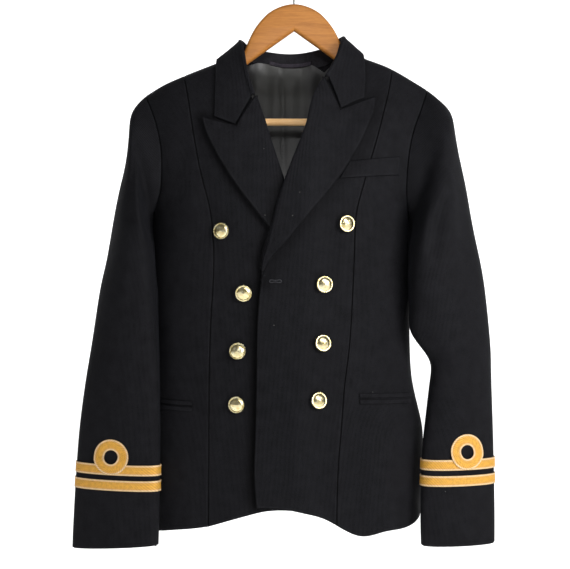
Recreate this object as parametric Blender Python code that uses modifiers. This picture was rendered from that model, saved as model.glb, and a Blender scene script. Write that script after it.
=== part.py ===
"""A double-breasted military dress tunic, hanging on a wooden hanger.

Run it with blender --background --python part.py, or from Blender's text editor. Lengths in the tables
are millimetres and the model is in metres, +Z up. The origin is the inside top of the hanger's hook,
where a rail bears. +X is the wearer's left and the front faces -Y. "down" is a distance below the origin.

The body is one smooth surface that every panel shares. A place on it is (turn, fall): turn is the angle
round the body, 0 at the middle and a quarter turn at a side seam, and fall is how far the place lies over
the shoulder ridge, positive on the front and negative on the back.
"""

import math

import bmesh
import bpy
from mathutils import Vector

MM = 0.001

# Thicknesses and gaps
CLOTH = 2.0  # wool outer cloth with its canvas
COLLAR_CLOTH = 2.0
LINING_CLOTH = 1.0
LACE_CLOTH = 1.2
SEAM_GAP = 0.3  # between two pieces that are sewn together
LAY_GAP = 1.1  # under a piece that lies on a curved panel
LACE_LAY = 0.5  # under the lace
SLEEVE_GAP = 1.5  # between a sleeve and the body that it hangs against

# How finely the walls are divided
ARM_ROWS = 10  # from the shoulder to the underarm
SIDE_ROWS = 9  # from the underarm to the hem
SLEEVE_COLUMNS = 2 * ARM_ROWS  # round a sleeve, so that it meets the armhole row by row

# The shoulder ridge, from the wearer's right to left: x, down
SHOULDER = (
    (-216.0, 208.0),
    (-208.0, 203.6),
    (-182.2, 187.9),
    (-147.6, 172.8),
    (-108.3, 157.4),
    (-78.0, 146.0),
    (-40.0, 134.0),
    (-5.0, 130.0),
    (35.0, 131.0),
    (72.0, 140.0),
    (99.3, 151.0),
    (132.0, 163.4),
    (148.2, 172.0),
    (166.8, 183.1),
    (186.6, 195.3),
    (194.0, 200.0),
)
SHOULDER_ROUND = 190.0  # how far below the ridge the shoulder has rounded into the chest

# The body's rings: down, right side x, left side x, front depth, back depth, how square (0) or oval (1)
BODY = (
    (130.0, -216.0, 194.0, 44.0, 58.0, 0.35),
    (200.0, -216.0, 194.0, 62.0, 60.0, 0.38),
    (250.0, -213.0, 190.0, 72.0, 61.0, 0.50),
    (300.0, -207.0, 181.0, 79.0, 62.0, 0.62),
    (340.0, -201.0, 170.0, 82.0, 62.0, 0.70),
    (377.0, -196.3, 160.0, 82.0, 60.0, 0.75),
    (447.0, -198.0, 163.5, 77.0, 55.0, 0.75),
    (533.0, -196.0, 162.0, 71.0, 50.0, 0.75),
    (600.0, -198.0, 165.5, 72.0, 52.0, 0.75),
    (632.0, -199.5, 169.5, 74.0, 55.0, 0.75),
    (666.0, -201.5, 178.0, 76.0, 58.0, 0.75),
    (711.0, -202.0, 178.5, 78.0, 60.0, 0.75),
    (810.0, -199.0, 175.0, 80.0, 62.0, 0.75),
)
UNDERARM = 377.0  # down
CENTRE_BACK = -5.0  # x of the centre back seam

# Seams and edges of the front, from the shoulder down: down, x
PRINCESS_RIGHT = (
    (175.5, -154.2),
    (200.9, -148.1),
    (235.8, -141.7),
    (272.8, -135.2),
    (310.1, -127.8),
    (347.9, -118.2),
    (381.4, -111.4),
    (433.0, -108.2),
    (526.0, -113.0),
    (616.0, -115.1),
    (692.0, -115.0),
    (793.5, -115.6),
)
PRINCESS_LEFT = (
    (166.2, 137.7),
    (202.3, 130.1),
    (235.8, 121.3),
    (268.8, 112.3),
    (330.5, 93.8),
    (381.4, 82.1),
    (414.7, 80.8),
    (512.5, 76.8),
    (562.2, 72.9),
    (607.7, 67.0),
    (650.3, 63.7),
    (732.8, 57.4),
    (791.0, 56.4),
)
EDGE_RIGHT = (  # neck, roll line and hidden front edge of the under front
    (146.0, -78.0),
    (168.0, -70.0),
    (190.0, -62.0),
    (212.6, -53.5),
    (249.9, -41.4),
    (287.0, -30.0),
    (314.6, -20.9),
    (360.0, -8.0),
    (410.0, 6.0),
    (465.0, 19.0),
    (520.0, 22.0),
    (773.0, 20.0),
)
EDGE_LEFT = (  # neck, roll line and front edge of the over front
    (140.0, 72.0),
    (155.0, 64.0),
    (171.0, 53.0),
    (185.9, 42.1),
    (223.0, 25.6),
    (253.9, 18.5),
    (312.2, -3.8),
    (357.5, -19.3),
    (399.0, -29.9),
    (428.2, -37.9),
    (465.5, -44.6),
    (532.1, -49.9),
    (610.6, -50.9),
    (757.2, -53.9),
    (765.5, -50.6),
)
ARMHOLE_RIGHT = (
    (203.6, -208.0),
    (231.8, -195.4),
    (260.8, -185.8),
    (300.6, -180.3),
    (329.7, -180.5),
    (355.2, -186.8),
    (377.0, -196.3),
)
ARMHOLE_LEFT = (
    (195.3, 186.6),
    (226.9, 175.2),
    (254.4, 164.5),
    (280.2, 157.9),
    (311.7, 153.8),
    (345.0, 153.0),
    (377.0, 160.0),
)
HEM_SIDE_RIGHT = 800.0  # down, at the side seams and the centre back
HEM_SIDE_LEFT = 778.0
HEM_BACK = 790.0
HEM_DIP = 14.5  # how far the left side front hangs below a straight hem
HEM_DIP_PLACE = 0.14  # where, over the panel's width from the princess seam
BACK_NECK = 163.0  # down, of the neckline at the centre back

# The over front rides on the under front and its lapel: it lifts from the first x to the second
LAP_LIFT = 6.5
LAP_START = 52.0
LAP_FULL = 12.0

# Soft folds in the body, each a trough or a ridge: x, down, half width, half length, tilt in degrees, height
BODY_FOLDS = (
    (118.0, 745.0, 26.0, 90.0, 4.0, 5.0),
    (148.0, 720.0, 16.0, 100.0, -3.0, -3.5),
    (28.0, 740.0, 18.0, 90.0, -5.0, -3.0),
    (-60.0, 720.0, 22.0, 110.0, 3.0, 2.5),
    (-150.0, 700.0, 18.0, 100.0, -4.0, 3.0),
    (-150.0, 300.0, 12.0, 70.0, 12.0, -3.0),
    (140.0, 250.0, 12.0, 60.0, -12.0, -2.5),
)

# Each sleeve's rings, from the shoulder to the cuff. Outer edge x, down, y; inner edge x, down, y; depth
# in front of the line between them, depth behind it
SLEEVE_RIGHT = (
    (-219.6, 217.8, 0.0, -198.3, 384.0, -2.0, 56.0, 54.0),
    (-226.5, 231.9, 0.0, -198.4, 392.0, -10.0, 62.0, 58.0),
    (-228.5, 255.4, -1.0, -197.0, 403.0, -22.0, 64.0, 60.0),
    (-232.5, 295.2, -3.0, -193.5, 417.0, -35.0, 63.0, 58.0),
    (-240.4, 330.3, -6.0, -191.0, 434.0, -43.0, 58.0, 54.0),
    (-249.7, 376.7, -11.0, -190.0, 454.0, -46.0, 53.0, 50.0),
    (-259.3, 434.5, -17.0, -188.5, 480.0, -48.0, 46.0, 44.0),
    (-268.0, 475.0, -21.0, -187.0, 508.0, -49.0, 40.0, 38.0),
    (-277.8, 541.0, -25.0, -183.5, 560.0, -51.0, 33.0, 31.0),
    (-286.2, 594.0, -28.0, -182.0, 606.0, -53.0, 28.0, 26.0),
    (-293.2, 646.0, -30.0, -181.2, 652.0, -55.0, 24.0, 22.0),
    (-298.2, 702.0, -32.0, -181.0, 702.0, -57.0, 20.4, 19.3),
    (-303.3, 790.0, -33.0, -182.2, 787.0, -58.0, 18.0, 17.0),
    (-305.0, 829.0, -34.0, -183.0, 820.0, -58.0, 17.0, 17.0),
)
SLEEVE_LEFT = (
    (206.4, 213.6, 0.0, 162.0, 384.0, -2.0, 56.0, 54.0),
    (219.0, 230.0, 0.0, 162.2, 392.0, -10.0, 62.0, 58.0),
    (224.5, 258.0, -1.0, 160.5, 403.0, -22.0, 64.0, 60.0),
    (231.0, 295.0, -3.0, 158.0, 417.0, -35.0, 63.0, 58.0),
    (239.5, 335.0, -5.0, 156.5, 436.0, -43.0, 58.0, 54.0),
    (248.0, 385.0, -8.0, 156.0, 457.0, -46.0, 53.0, 50.0),
    (258.5, 437.0, -12.0, 157.0, 482.0, -47.0, 47.0, 45.0),
    (265.2, 482.0, -16.0, 156.5, 508.0, -47.0, 42.0, 40.0),
    (270.7, 541.0, -20.0, 160.0, 537.0, -46.0, 35.0, 34.0),
    (272.0, 572.0, -22.0, 183.5, 570.0, -40.0, 32.0, 30.0),
    (272.4, 600.0, -23.0, 185.0, 602.0, -40.0, 30.0, 27.0),
    (273.3, 646.0, -27.0, 179.0, 648.0, -44.0, 26.0, 24.0),
    (274.2, 698.0, -30.5, 173.2, 698.0, -50.0, 22.5, 20.5),
    (275.3, 778.0, -33.0, 170.3, 775.0, -55.0, 20.0, 18.0),
    (275.3, 822.0, -34.0, 171.0, 821.0, -56.0, 19.0, 18.0),
)
# Soft folds in a sleeve, each a trough or a ridge: side, column round the sleeve, ring along it, half width
# in columns, half length in rings, height
SLEEVE_FOLDS = (
    ("right", 4.2, 3.0, 1.1, 1.6, -7.0),
    ("right", 2.2, 4.0, 1.0, 2.0, 2.5),
    ("right", 6.4, 7.0, 1.0, 1.6, -3.0),
    ("left", 5.6, 4.0, 1.1, 2.2, -6.0),
    ("left", 3.0, 6.0, 1.0, 2.2, -3.0),
    ("left", 7.6, 9.0, 1.2, 1.0, -4.0),
    ("left", 15.5, 9.0, 1.6, 0.8, 4.0),
)
SLEEVE_OVAL = 0.85  # how oval a sleeve's section is, 1 for an ellipse
CAP_ROWS = (0.0, 0.5, 1.0, 2.0, 3.0, 4.0, 5.0)  # rows in station numbers, then one for each station
FOREARM_SEAM = 10  # columns where the top sleeve meets the under sleeve, counted over the front
HINDARM_SEAM = 15

# Rank lace: down of a ring's top edge at the sleeve's outer and inner edges
LACE_WIDTH = 14.3
LACE = (
    ("lace_upper_right", "right", 710.5, 711.8),
    ("lace_lower_right", "right", 731.5, 732.6),
    ("lace_upper_left", "left", 704.5, 704.8),
    ("lace_lower_left", "left", 726.0, 726.2),
)
# The curl over the upper ring: centre x, down, radius across, radius up
CURL = (
    ("curl_right", "right", -246.3, 701.0, 24.0, 24.0),
    ("curl_left", "left", 232.5, 694.5, 22.5, 24.0),
)
CURL_HOLE = 0.39  # hole radius over outer radius

# Collar stations, from the right gorge round the back to the left gorge. The neck seam's x, down and
# sheet (1 front, -1 back); the fall's edge x, down and sheet; stand height; 0 square to the cloth or 1
# upright; lean towards the neck
COLLAR = (
    (-53.5, 212.6, 1, -109.2, 242.0, 1, 4.6, 0.0, 0.0),
    (-62.0, 190.0, 1, -108.3, 222.6, 1, 8.0, 0.3, 1.0),
    (-70.0, 168.0, 1, -108.0, 186.0, 1, 13.0, 0.7, 3.0),
    (-78.0, 146.0, 1, -107.0, 157.0, 1, 19.0, 1.0, 5.0),
    (-66.0, 155.0, -1, -97.0, 180.0, -1, 23.0, 1.0, 4.0),
    (-40.0, 161.0, -1, -58.0, 192.0, -1, 25.0, 1.0, 2.0),
    (-5.0, 163.0, -1, -5.0, 195.0, -1, 24.0, 1.0, 2.0),
    (33.0, 159.0, -1, 48.0, 190.0, -1, 25.0, 1.0, 2.0),
    (58.0, 151.0, -1, 86.0, 174.0, -1, 23.0, 1.0, 4.0),
    (72.0, 140.0, 1, 95.5, 149.2, 1, 18.0, 1.0, 5.0),
    (64.0, 155.0, 1, 97.5, 178.0, 1, 13.0, 0.7, 3.0),
    (53.0, 171.0, 1, 96.5, 198.0, 1, 8.0, 0.3, 1.0),
    (42.1, 185.9, 1, 95.5, 215.4, 1, 4.6, 0.0, 0.0),
)
COLLAR_SECTIONS = 28
FOLD_RADIUS = 2.3
COLLAR_PROUD = 2.5  # how far the fall stands off the shoulder ridge
GORGE_RIGHT = (-77.5, 254.5)  # x, down of the notch where the collar's end leaves the lapel
GORGE_LEFT = (61.4, 231.2)
NOTCH_GAP = 2.0  # between the collar's end and the lapel's top, down
GORGE_SHARE = 0.6  # how far along the collar's end the notch comes

# Lapels, outer edge from the peak to the break: down, x
LAPEL_RIGHT = (
    (243.0, -124.0),
    (262.0, -118.5),
    (297.0, -101.5),
    (337.5, -75.5),
    (367.5, -53.0),
    (392.5, -33.0),
    (430.0, -8.0),
    (462.0, 12.0),
)
LAPEL_LEFT = (
    (213.5, 109.5),
    (217.5, 110.0),
    (263.0, 95.0),
    (327.0, 57.5),
    (367.0, 24.5),
    (404.5, -6.5),
    (430.5, -26.0),
    (462.0, -39.5),
)
LAPEL_BREAK = 462.0
ROLL_BULGE = 2.0  # how far a lapel stands off the front beside its roll line

# Pockets: corners x, down
WELT = ((73.5, 303.6), (142.4, 295.7), (141.0, 320.7), (59.5, 327.3))
JETS = (
    ("jet_upper_left", 87.0, 161.0, 615.0, 617.5),
    ("jet_lower_left", 87.0, 161.0, 623.2, 625.7),
    ("jet_upper_right", -137.0, -190.0, 626.0, 624.0),
    ("jet_lower_right", -137.0, -190.0, 634.2, 632.2),
)
JET_WIDTH = 6.6
JET_RELIEF = 1.1
JET_LAY = 0.6  # under a jet

# Buttons: x, down, tilt forward in degrees, tilt aside in degrees
BUTTONS = (
    ("button_right_1", -96.5, 397.1, 4.0, -10.0),
    ("button_right_2", -67.6, 480.0, -6.0, 4.0),
    ("button_right_3", -75.7, 558.0, 5.0, 3.0),
    ("button_right_4", -76.7, 629.4, -4.0, -4.0),
    ("button_left_1", 68.9, 387.5, 3.0, 14.0),
    ("button_left_2", 38.7, 468.3, 6.0, -3.0),
    ("button_left_3", 36.8, 547.0, 8.0, 4.0),
    ("button_left_4", 31.3, 623.7, 6.0, 9.0),
)
BUTTON_RADIUS = 11.2
BUTTON_SIDES = 16
BUTTON_STANDS = 4.0  # from the cloth to the button's rim
# Half section of a button from the shank up to the dome: radius over the button's, height over it
BUTTON_PROFILE = (
    (0.0, -0.28),
    (0.17, -0.28),
    (0.17, 0.0),
    (0.93, 0.0),
    (1.0, 0.09),
    (0.93, 0.2),
    (0.55, 0.37),
    (0.0, 0.44),
)

# Lining and hanging loop
LINING_LAY = 0.5  # behind the cloth that it lines
LINING_FIRST_ROW = 2  # of the back panel's rows, where the lining begins under the neck
LOOP_HALF = 30.0
LOOP_DOWN = 156.5
LOOP_WIDTH = 6.0

# Hanger
WOOD_THICK = 12.0
WOOD_ROUND = 4.8
HOOK_WIRE = 3.0
HOOK_BEND = 22.0  # inside radius of the hook's bend
HANGER_NECK = (  # top outline of the wood inside the neck: x, down
    (0.0, 75.0),
    (16.0, 77.5),
    (34.0, 91.0),
    (48.0, 103.5),
    (62.0, 126.0),
    (67.5, 137.0),
    (72.0, 146.5),
    (80.0, 153.0),
)
HANGER_ARM = ((96.0, 3.4), (120.0, 3.4), (145.0, 4.0), (165.0, 6.0), (180.0, 11.0))  # x, below the ridge
HANGER_TIP = (  # round the tip and back along the underside: x, down
    (188.0, 212.0),
    (191.5, 224.0),
    (190.0, 240.0),
    (184.0, 249.5),
    (174.0, 251.5),
    (166.5, 247.0),
    (163.5, 238.0),
    (155.0, 225.0),
    (130.0, 203.0),
    (100.0, 183.0),
    (67.0, 160.5),
    (34.0, 137.0),
    (12.0, 118.0),
)
HANGER_CROTCH = 113.0
BAR_RADIUS = 5.2
BAR_DOWN = 240.7
BAR_HALF = 161.0

FINISHES = {  # colour, roughness, metallic
    "navy_wool": ((0.012, 0.013, 0.018), 0.85, 0.0),
    "black_lining": ((0.03, 0.031, 0.028), 0.45, 0.0),
    "gold_lace": ((0.72, 0.43, 0.08), 0.45, 0.3),
    "gilt_brass": ((0.85, 0.72, 0.40), 0.22, 1.0),
    "beech_wood": ((0.61, 0.29, 0.09), 0.4, 0.0),
    "steel_wire": ((0.6, 0.6, 0.6), 0.25, 1.0),
}


# ---- Curves through tables

def smooth(table, at, column=1):
    """A column of a table where its first column is at, along a smooth curve that never overshoots."""
    last = len(table) - 1
    if at <= table[0][0]:
        return table[0][column]
    if at >= table[last][0]:
        return table[last][column]
    i = next(k for k in range(last) if at <= table[k + 1][0])

    def slope(k):
        return (table[k + 1][column] - table[k][column]) / (table[k + 1][0] - table[k][0])

    def tangent(k):
        if k in (0, last):
            return slope(min(k, last - 1))
        before, after = slope(k - 1), slope(k)
        if before * after <= 0:
            return 0.0
        return 2 * before * after / (before + after)

    width = table[i + 1][0] - table[i][0]
    t = (at - table[i][0]) / width
    rise = table[i + 1][column] - table[i][column]
    start, end = tangent(i) * width, tangent(i + 1) * width
    cubic = start + end - 2 * rise
    square = 3 * rise - 2 * start - end
    return table[i][column] + t * (start + t * (square + t * cubic))


def spline(points, at):
    """A point on a Catmull-Rom curve through points, where at counts the points from 0."""
    last = len(points) - 1
    i = min(int(at), last - 1)
    t = at - i
    a, b, c, d = (points[min(max(i + k, 0), last)] for k in (-1, 0, 1, 2))
    return (
        b * 2 + (c - a) * t + (a * 2 - b * 5 + c * 4 - d) * t**2 + (b * 3 - a - c * 3 + d) * t**3
    ) * 0.5


def ease(t):
    """0 to 1 with level ends."""
    t = min(max(t, 0.0), 1.0)
    return t * t * (3 - 2 * t)


# ---- The body's shared surface

TOP_MIDDLE = (BODY[0][1] + BODY[0][2]) / 2
TOP_HALF = (BODY[0][2] - BODY[0][1]) / 2


def body_fold(x, down):
    """How far the soft folds push the cloth out at a place of the front."""
    total = 0.0
    for fold_x, fold_down, half_width, half_length, tilt, height in BODY_FOLDS:
        along = math.radians(tilt)
        dx, dz = x - fold_x, down - fold_down
        across = (dx * math.cos(along) + dz * math.sin(along)) / half_width
        length = (dz * math.cos(along) - dx * math.sin(along)) / half_length
        total += height * math.exp(-across * across - length * length)
    return total


def body_point(place):
    """The point of the body's outer surface at a place, in millimetres."""
    turn, fall = place
    forward = math.cos(turn) if fall >= 0 else -math.cos(turn)
    fall = abs(fall)
    ridge = smooth(SHOULDER, TOP_MIDDLE + TOP_HALF * math.sin(turn))
    if fall < math.pi / 2:
        down = ridge + SHOULDER_ROUND * (1 - math.cos(fall))
        spread = math.sin(fall)
    else:
        down = ridge + SHOULDER_ROUND * (1 + fall - math.pi / 2)
        spread = 1.0
    right, left, front, back, oval = (smooth(BODY, down, column) for column in range(1, 6))
    x = (right + left) / 2 + (left - right) / 2 * math.sin(turn)
    depth = front if forward >= 0 else back
    reach = abs(forward) ** oval * spread
    if forward > 0:
        depth += body_fold(x, down)
    return Vector((x, -math.copysign(depth * reach, forward), -down))


def on_body(x, down, sheet=1):
    """The place on the body at x and down, on the front sheet (1) or the back one (-1)."""
    right, left = smooth(BODY, down, 1), smooth(BODY, down, 2)
    aside = min(max((2 * x - right - left) / (left - right), -1.0), 1.0)
    drop = max(0.0, down - smooth(SHOULDER, TOP_MIDDLE + TOP_HALF * aside)) / SHOULDER_ROUND
    fall = math.acos(1 - drop) if drop < 1 else math.pi / 2 + drop - 1
    return Vector((math.asin(aside), sheet * fall))


def body_normal(place):
    step = 0.004
    across = body_point(place + Vector((step, 0))) - body_point(place - Vector((step, 0)))
    along = body_point(place + Vector((0, step))) - body_point(place - Vector((0, step)))
    return along.cross(across).normalized()


def skin(place, height=0.0):
    """A point height outside the body's surface."""
    return body_point(place) + body_normal(place) * height


# ---- Building meshes

collection = None


def start():
    """Clears the scene and makes the tunic's collection."""
    for old in list(bpy.data.objects):
        bpy.data.objects.remove(old, do_unlink=True)
    made = bpy.data.collections.new("military_dress_tunic")
    bpy.context.scene.collection.children.link(made)
    return made


def finish(name):
    found = bpy.data.materials.get(name)
    if found:
        return found
    colour, roughness, metallic = FINISHES[name]
    found = bpy.data.materials.new(name)
    found.use_nodes = True
    shader = found.node_tree.nodes["Principled BSDF"]
    shader.inputs["Base Color"].default_value = (*colour, 1)
    shader.inputs["Roughness"].default_value = roughness
    shader.inputs["Metallic"].default_value = metallic
    found.diffuse_color = (*colour, 1)
    return found


def add_object(name, data, material):
    obj = bpy.data.objects.new(name, data)
    data.materials.append(finish(material))
    collection.objects.link(obj)
    return obj


def mesh_of(name, points, faces):
    """A mesh from points in millimetres, with its faces turned outwards."""
    mesh = bpy.data.meshes.new(name)
    mesh.from_pydata([point * MM for point in points], [], faces)
    shape = bmesh.new()
    shape.from_mesh(mesh)
    bmesh.ops.recalc_face_normals(shape, faces=shape.faces)
    shape.to_mesh(mesh)
    shape.free()
    return mesh


def wall(name, outer, inner, material, closed=False):
    """A cloth wall between two skins, each a list of rows of points. A closed one is a tube.

    Both skins are split into the same triangles, so that walls on one grid of places lie evenly apart."""
    rows, columns = len(outer), len(outer[0])
    points = [point for skin_rows in (outer, inner) for row in skin_rows for point in row]
    back = rows * columns
    steps = columns if closed else columns - 1
    faces = []
    for j in range(rows - 1):
        for i in range(steps):
            a, b = j * columns + i, j * columns + (i + 1) % columns
            c, d = b + columns, a + columns
            faces += [(a, b, c), (a, c, d)]
            faces += [(back + c, back + b, back + a), (back + d, back + c, back + a)]
    for j in (0, rows - 1):
        for i in range(steps):
            a, b = j * columns + i, j * columns + (i + 1) % columns
            faces.append((a, back + a, back + b, b))
    if not closed:
        for i in (0, columns - 1):
            for j in range(rows - 1):
                a, b = j * columns + i, (j + 1) * columns + i
                faces.append((a, b, back + b, back + a))
    obj = add_object(name, mesh_of(name, points, faces), material)
    obj.data.shade_smooth()
    obj.data.set_sharp_from_angle(angle=math.radians(50))
    return obj


def sheet(name, rows, thickness, material):
    """An open surface of rows of points, thickened to both sides."""
    columns = len(rows[0])
    faces = [
        (j * columns + i, j * columns + i + 1, (j + 1) * columns + i + 1, (j + 1) * columns + i)
        for j in range(len(rows) - 1)
        for i in range(columns - 1)
    ]
    mesh = bpy.data.meshes.new(name)
    mesh.from_pydata([point * MM for row in rows for point in row], [], faces)
    mesh.shade_smooth()
    obj = add_object(name, mesh, material)
    solidify = obj.modifiers.new("thickness", "SOLIDIFY")
    solidify.thickness = thickness * MM
    solidify.offset = 0.0
    solidify.use_even_offset = True
    return obj


# ---- Body panels

def row_downs(top, hem):
    """How far down the rows of a seam lie: close under the shoulder, then even from the underarm."""
    upper = [top + (UNDERARM - top) * (j / ARM_ROWS) ** 1.6 for j in range(ARM_ROWS)]
    lower = [UNDERARM + (hem - UNDERARM) * j / SIDE_ROWS for j in range(SIDE_ROWS + 1)]
    return upper + lower


def seam(table, hem):
    """A seam of the front, row by row."""
    return [on_body(smooth(table, down), down) for down in row_downs(table[0][0], hem)]


def side_edge(table, hem, sheet_side):
    """The armhole's front or back edge, and the side seam under it."""
    tip = table[0][0]
    edge = []
    for j in range(ARM_ROWS + 1):
        down = tip + (UNDERARM - tip) * (1 - math.cos(math.pi * j / ARM_ROWS)) / 2
        edge.append(on_body(smooth(table, down), down, sheet_side))
    for j in range(1, SIDE_ROWS + 1):
        down = UNDERARM + (hem - UNDERARM) * j / SIDE_ROWS
        side_x = smooth(BODY, down, 1 if table[-1][1] < 0 else 2)
        edge.append(on_body(side_x, down, sheet_side))
    return edge


def centre_back():
    return [on_body(CENTRE_BACK, down, -1) for down in row_downs(BACK_NECK, HEM_BACK)]


def panel_places(first, last, columns, top=None, dip=0.0):
    """Places between two edges, row by row. top places the first row, and dip lowers the hem."""
    rows = []
    count = len(first) - 1
    for j, (a, b) in enumerate(zip(first, last)):
        width = (body_point(a) - body_point(b)).length
        inset = SEAM_GAP / 2 / width
        row = []
        for i in range(columns + 1):
            u = inset + (1 - 2 * inset) * i / columns
            place = a.lerp(b, u)
            if top and j < ARM_ROWS:
                place += (top(u) - first[0].lerp(last[0], u)) * (1 - j / ARM_ROWS) ** 2
            if dip:
                hang = min(u / HEM_DIP_PLACE, ((1 - u) / (1 - HEM_DIP_PLACE)) ** 1.35)
                place.y += dip * hang * (j / count) ** 6 / SHOULDER_ROUND
            row.append(place)
        rows.append(row)
    for place in rows[0]:
        ridge_gap = SEAM_GAP / 2 / max(abs(body_point(Vector((place.x, math.pi / 2))).y), 10.0)
        if abs(place.y) < ridge_gap:
            place.y = math.copysign(ridge_gap, rows[1][0].y)
    return rows


def lap_lift(point):
    return LAP_LIFT * ease((LAP_START - point.x) / (LAP_START - LAP_FULL))


def panel(name, places, lapped=False):
    """A wall of the body's cloth. A lapped one rises where it lies over the other front."""
    outer, inner = [], []
    for row in places:
        lifts = [lap_lift(body_point(place)) if lapped else 0.0 for place in row]
        outer.append([skin(place, lift) for place, lift in zip(row, lifts)])
        inner.append([skin(place, lift - CLOTH) for place, lift in zip(row, lifts)])
    wall(name, outer, inner, "navy_wool")
    return outer


def on_facets(grid, x, down):
    """The point and the outward normal at x and down on a front panel as it is faceted."""
    spot = Vector((x, -down))
    for row, under in zip(grid, grid[1:]):
        for a, b, c, d in zip(row, row[1:], under[1:], under):
            for corners in ((a, b, c), (a, c, d)):
                flat = [Vector((corner.x, corner.z)) for corner in corners]
                u, v = flat[1] - flat[0], flat[2] - flat[0]
                area = u.x * v.y - u.y * v.x
                reach = spot - flat[0]
                s = (reach.x * v.y - reach.y * v.x) / area
                t = (u.x * reach.y - u.y * reach.x) / area
                if s >= 0 and t >= 0 and s + t <= 1:
                    side_u, side_v = corners[1] - corners[0], corners[2] - corners[0]
                    normal = side_u.cross(side_v).normalized()
                    point = corners[0] + side_u * s + side_v * t
                    return point, normal if normal.y < 0 else -normal
    raise ValueError("off the panel")


def back_top(tip, neck_x, neck_down):
    """The top row of a back panel: along the shoulder from its tip, then down the back neckline."""
    shoulder_tip = on_body(tip[1], tip[0], -1)
    neck_point = on_body(neck_x, neck_down, -1)
    neck_point.y = 0.0
    middle = on_body(CENTRE_BACK, BACK_NECK, -1)
    quarter = on_body((neck_x * 2 + CENTRE_BACK) / 3, BACK_NECK - 5.0, -1)
    shoulder_share = 0.62

    def at(u):
        if u < shoulder_share:
            return shoulder_tip.lerp(neck_point, u / shoulder_share)
        v = (u - shoulder_share) / (1 - shoulder_share)
        if v < 0.5:
            return neck_point.lerp(quarter, v * 2)
        return quarter.lerp(middle, v * 2 - 1)

    return at


def build_body():
    princess_right = seam(PRINCESS_RIGHT, PRINCESS_RIGHT[-1][0])
    princess_left = seam(PRINCESS_LEFT, PRINCESS_LEFT[-1][0])
    edge_right = seam(EDGE_RIGHT, EDGE_RIGHT[-1][0])
    edge_left = seam(EDGE_LEFT, EDGE_LEFT[-1][0])
    side_right = side_edge(ARMHOLE_RIGHT, HEM_SIDE_RIGHT, 1)
    side_left = side_edge(ARMHOLE_LEFT, HEM_SIDE_LEFT, 1)
    back_right = side_edge(ARMHOLE_RIGHT, HEM_SIDE_RIGHT, -1)
    back_left = side_edge(ARMHOLE_LEFT, HEM_SIDE_LEFT, -1)
    sides = {
        "right": panel("side_front_right", panel_places(side_right, princess_right, 6)),
        "left": panel("side_front_left", panel_places(princess_left, side_left, 6, dip=HEM_DIP)),
    }
    fronts = {
        "right": panel("front_right", panel_places(princess_right, edge_right, 7)),
        "left": panel("front_left", panel_places(edge_left, princess_left, 7), lapped=True),
    }
    top_right = back_top(ARMHOLE_RIGHT[0], EDGE_RIGHT[0][1], EDGE_RIGHT[0][0])
    top_left = back_top(ARMHOLE_LEFT[0], EDGE_LEFT[0][1], EDGE_LEFT[0][0])
    backs = {
        "right": panel_places(back_right, centre_back(), 10, top_right),
        "left": panel_places(back_left, centre_back(), 10, top_left),
    }
    for side, places in backs.items():
        panel("back_" + side, places)
    return fronts, sides, backs


# ---- Sleeves

def body_side(y, down, wearer_left):
    """x of the body's side at a depth y."""
    right, left, front, back, oval = (smooth(BODY, down, column) for column in range(1, 6))
    depth = front if y < 0 else back
    forward = min(abs(y) / depth, 1.0) ** (1 / oval)
    aside = math.sqrt(1 - forward * forward)
    return (right + left) / 2 + (left - right) / 2 * (aside if wearer_left else -aside)


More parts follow.
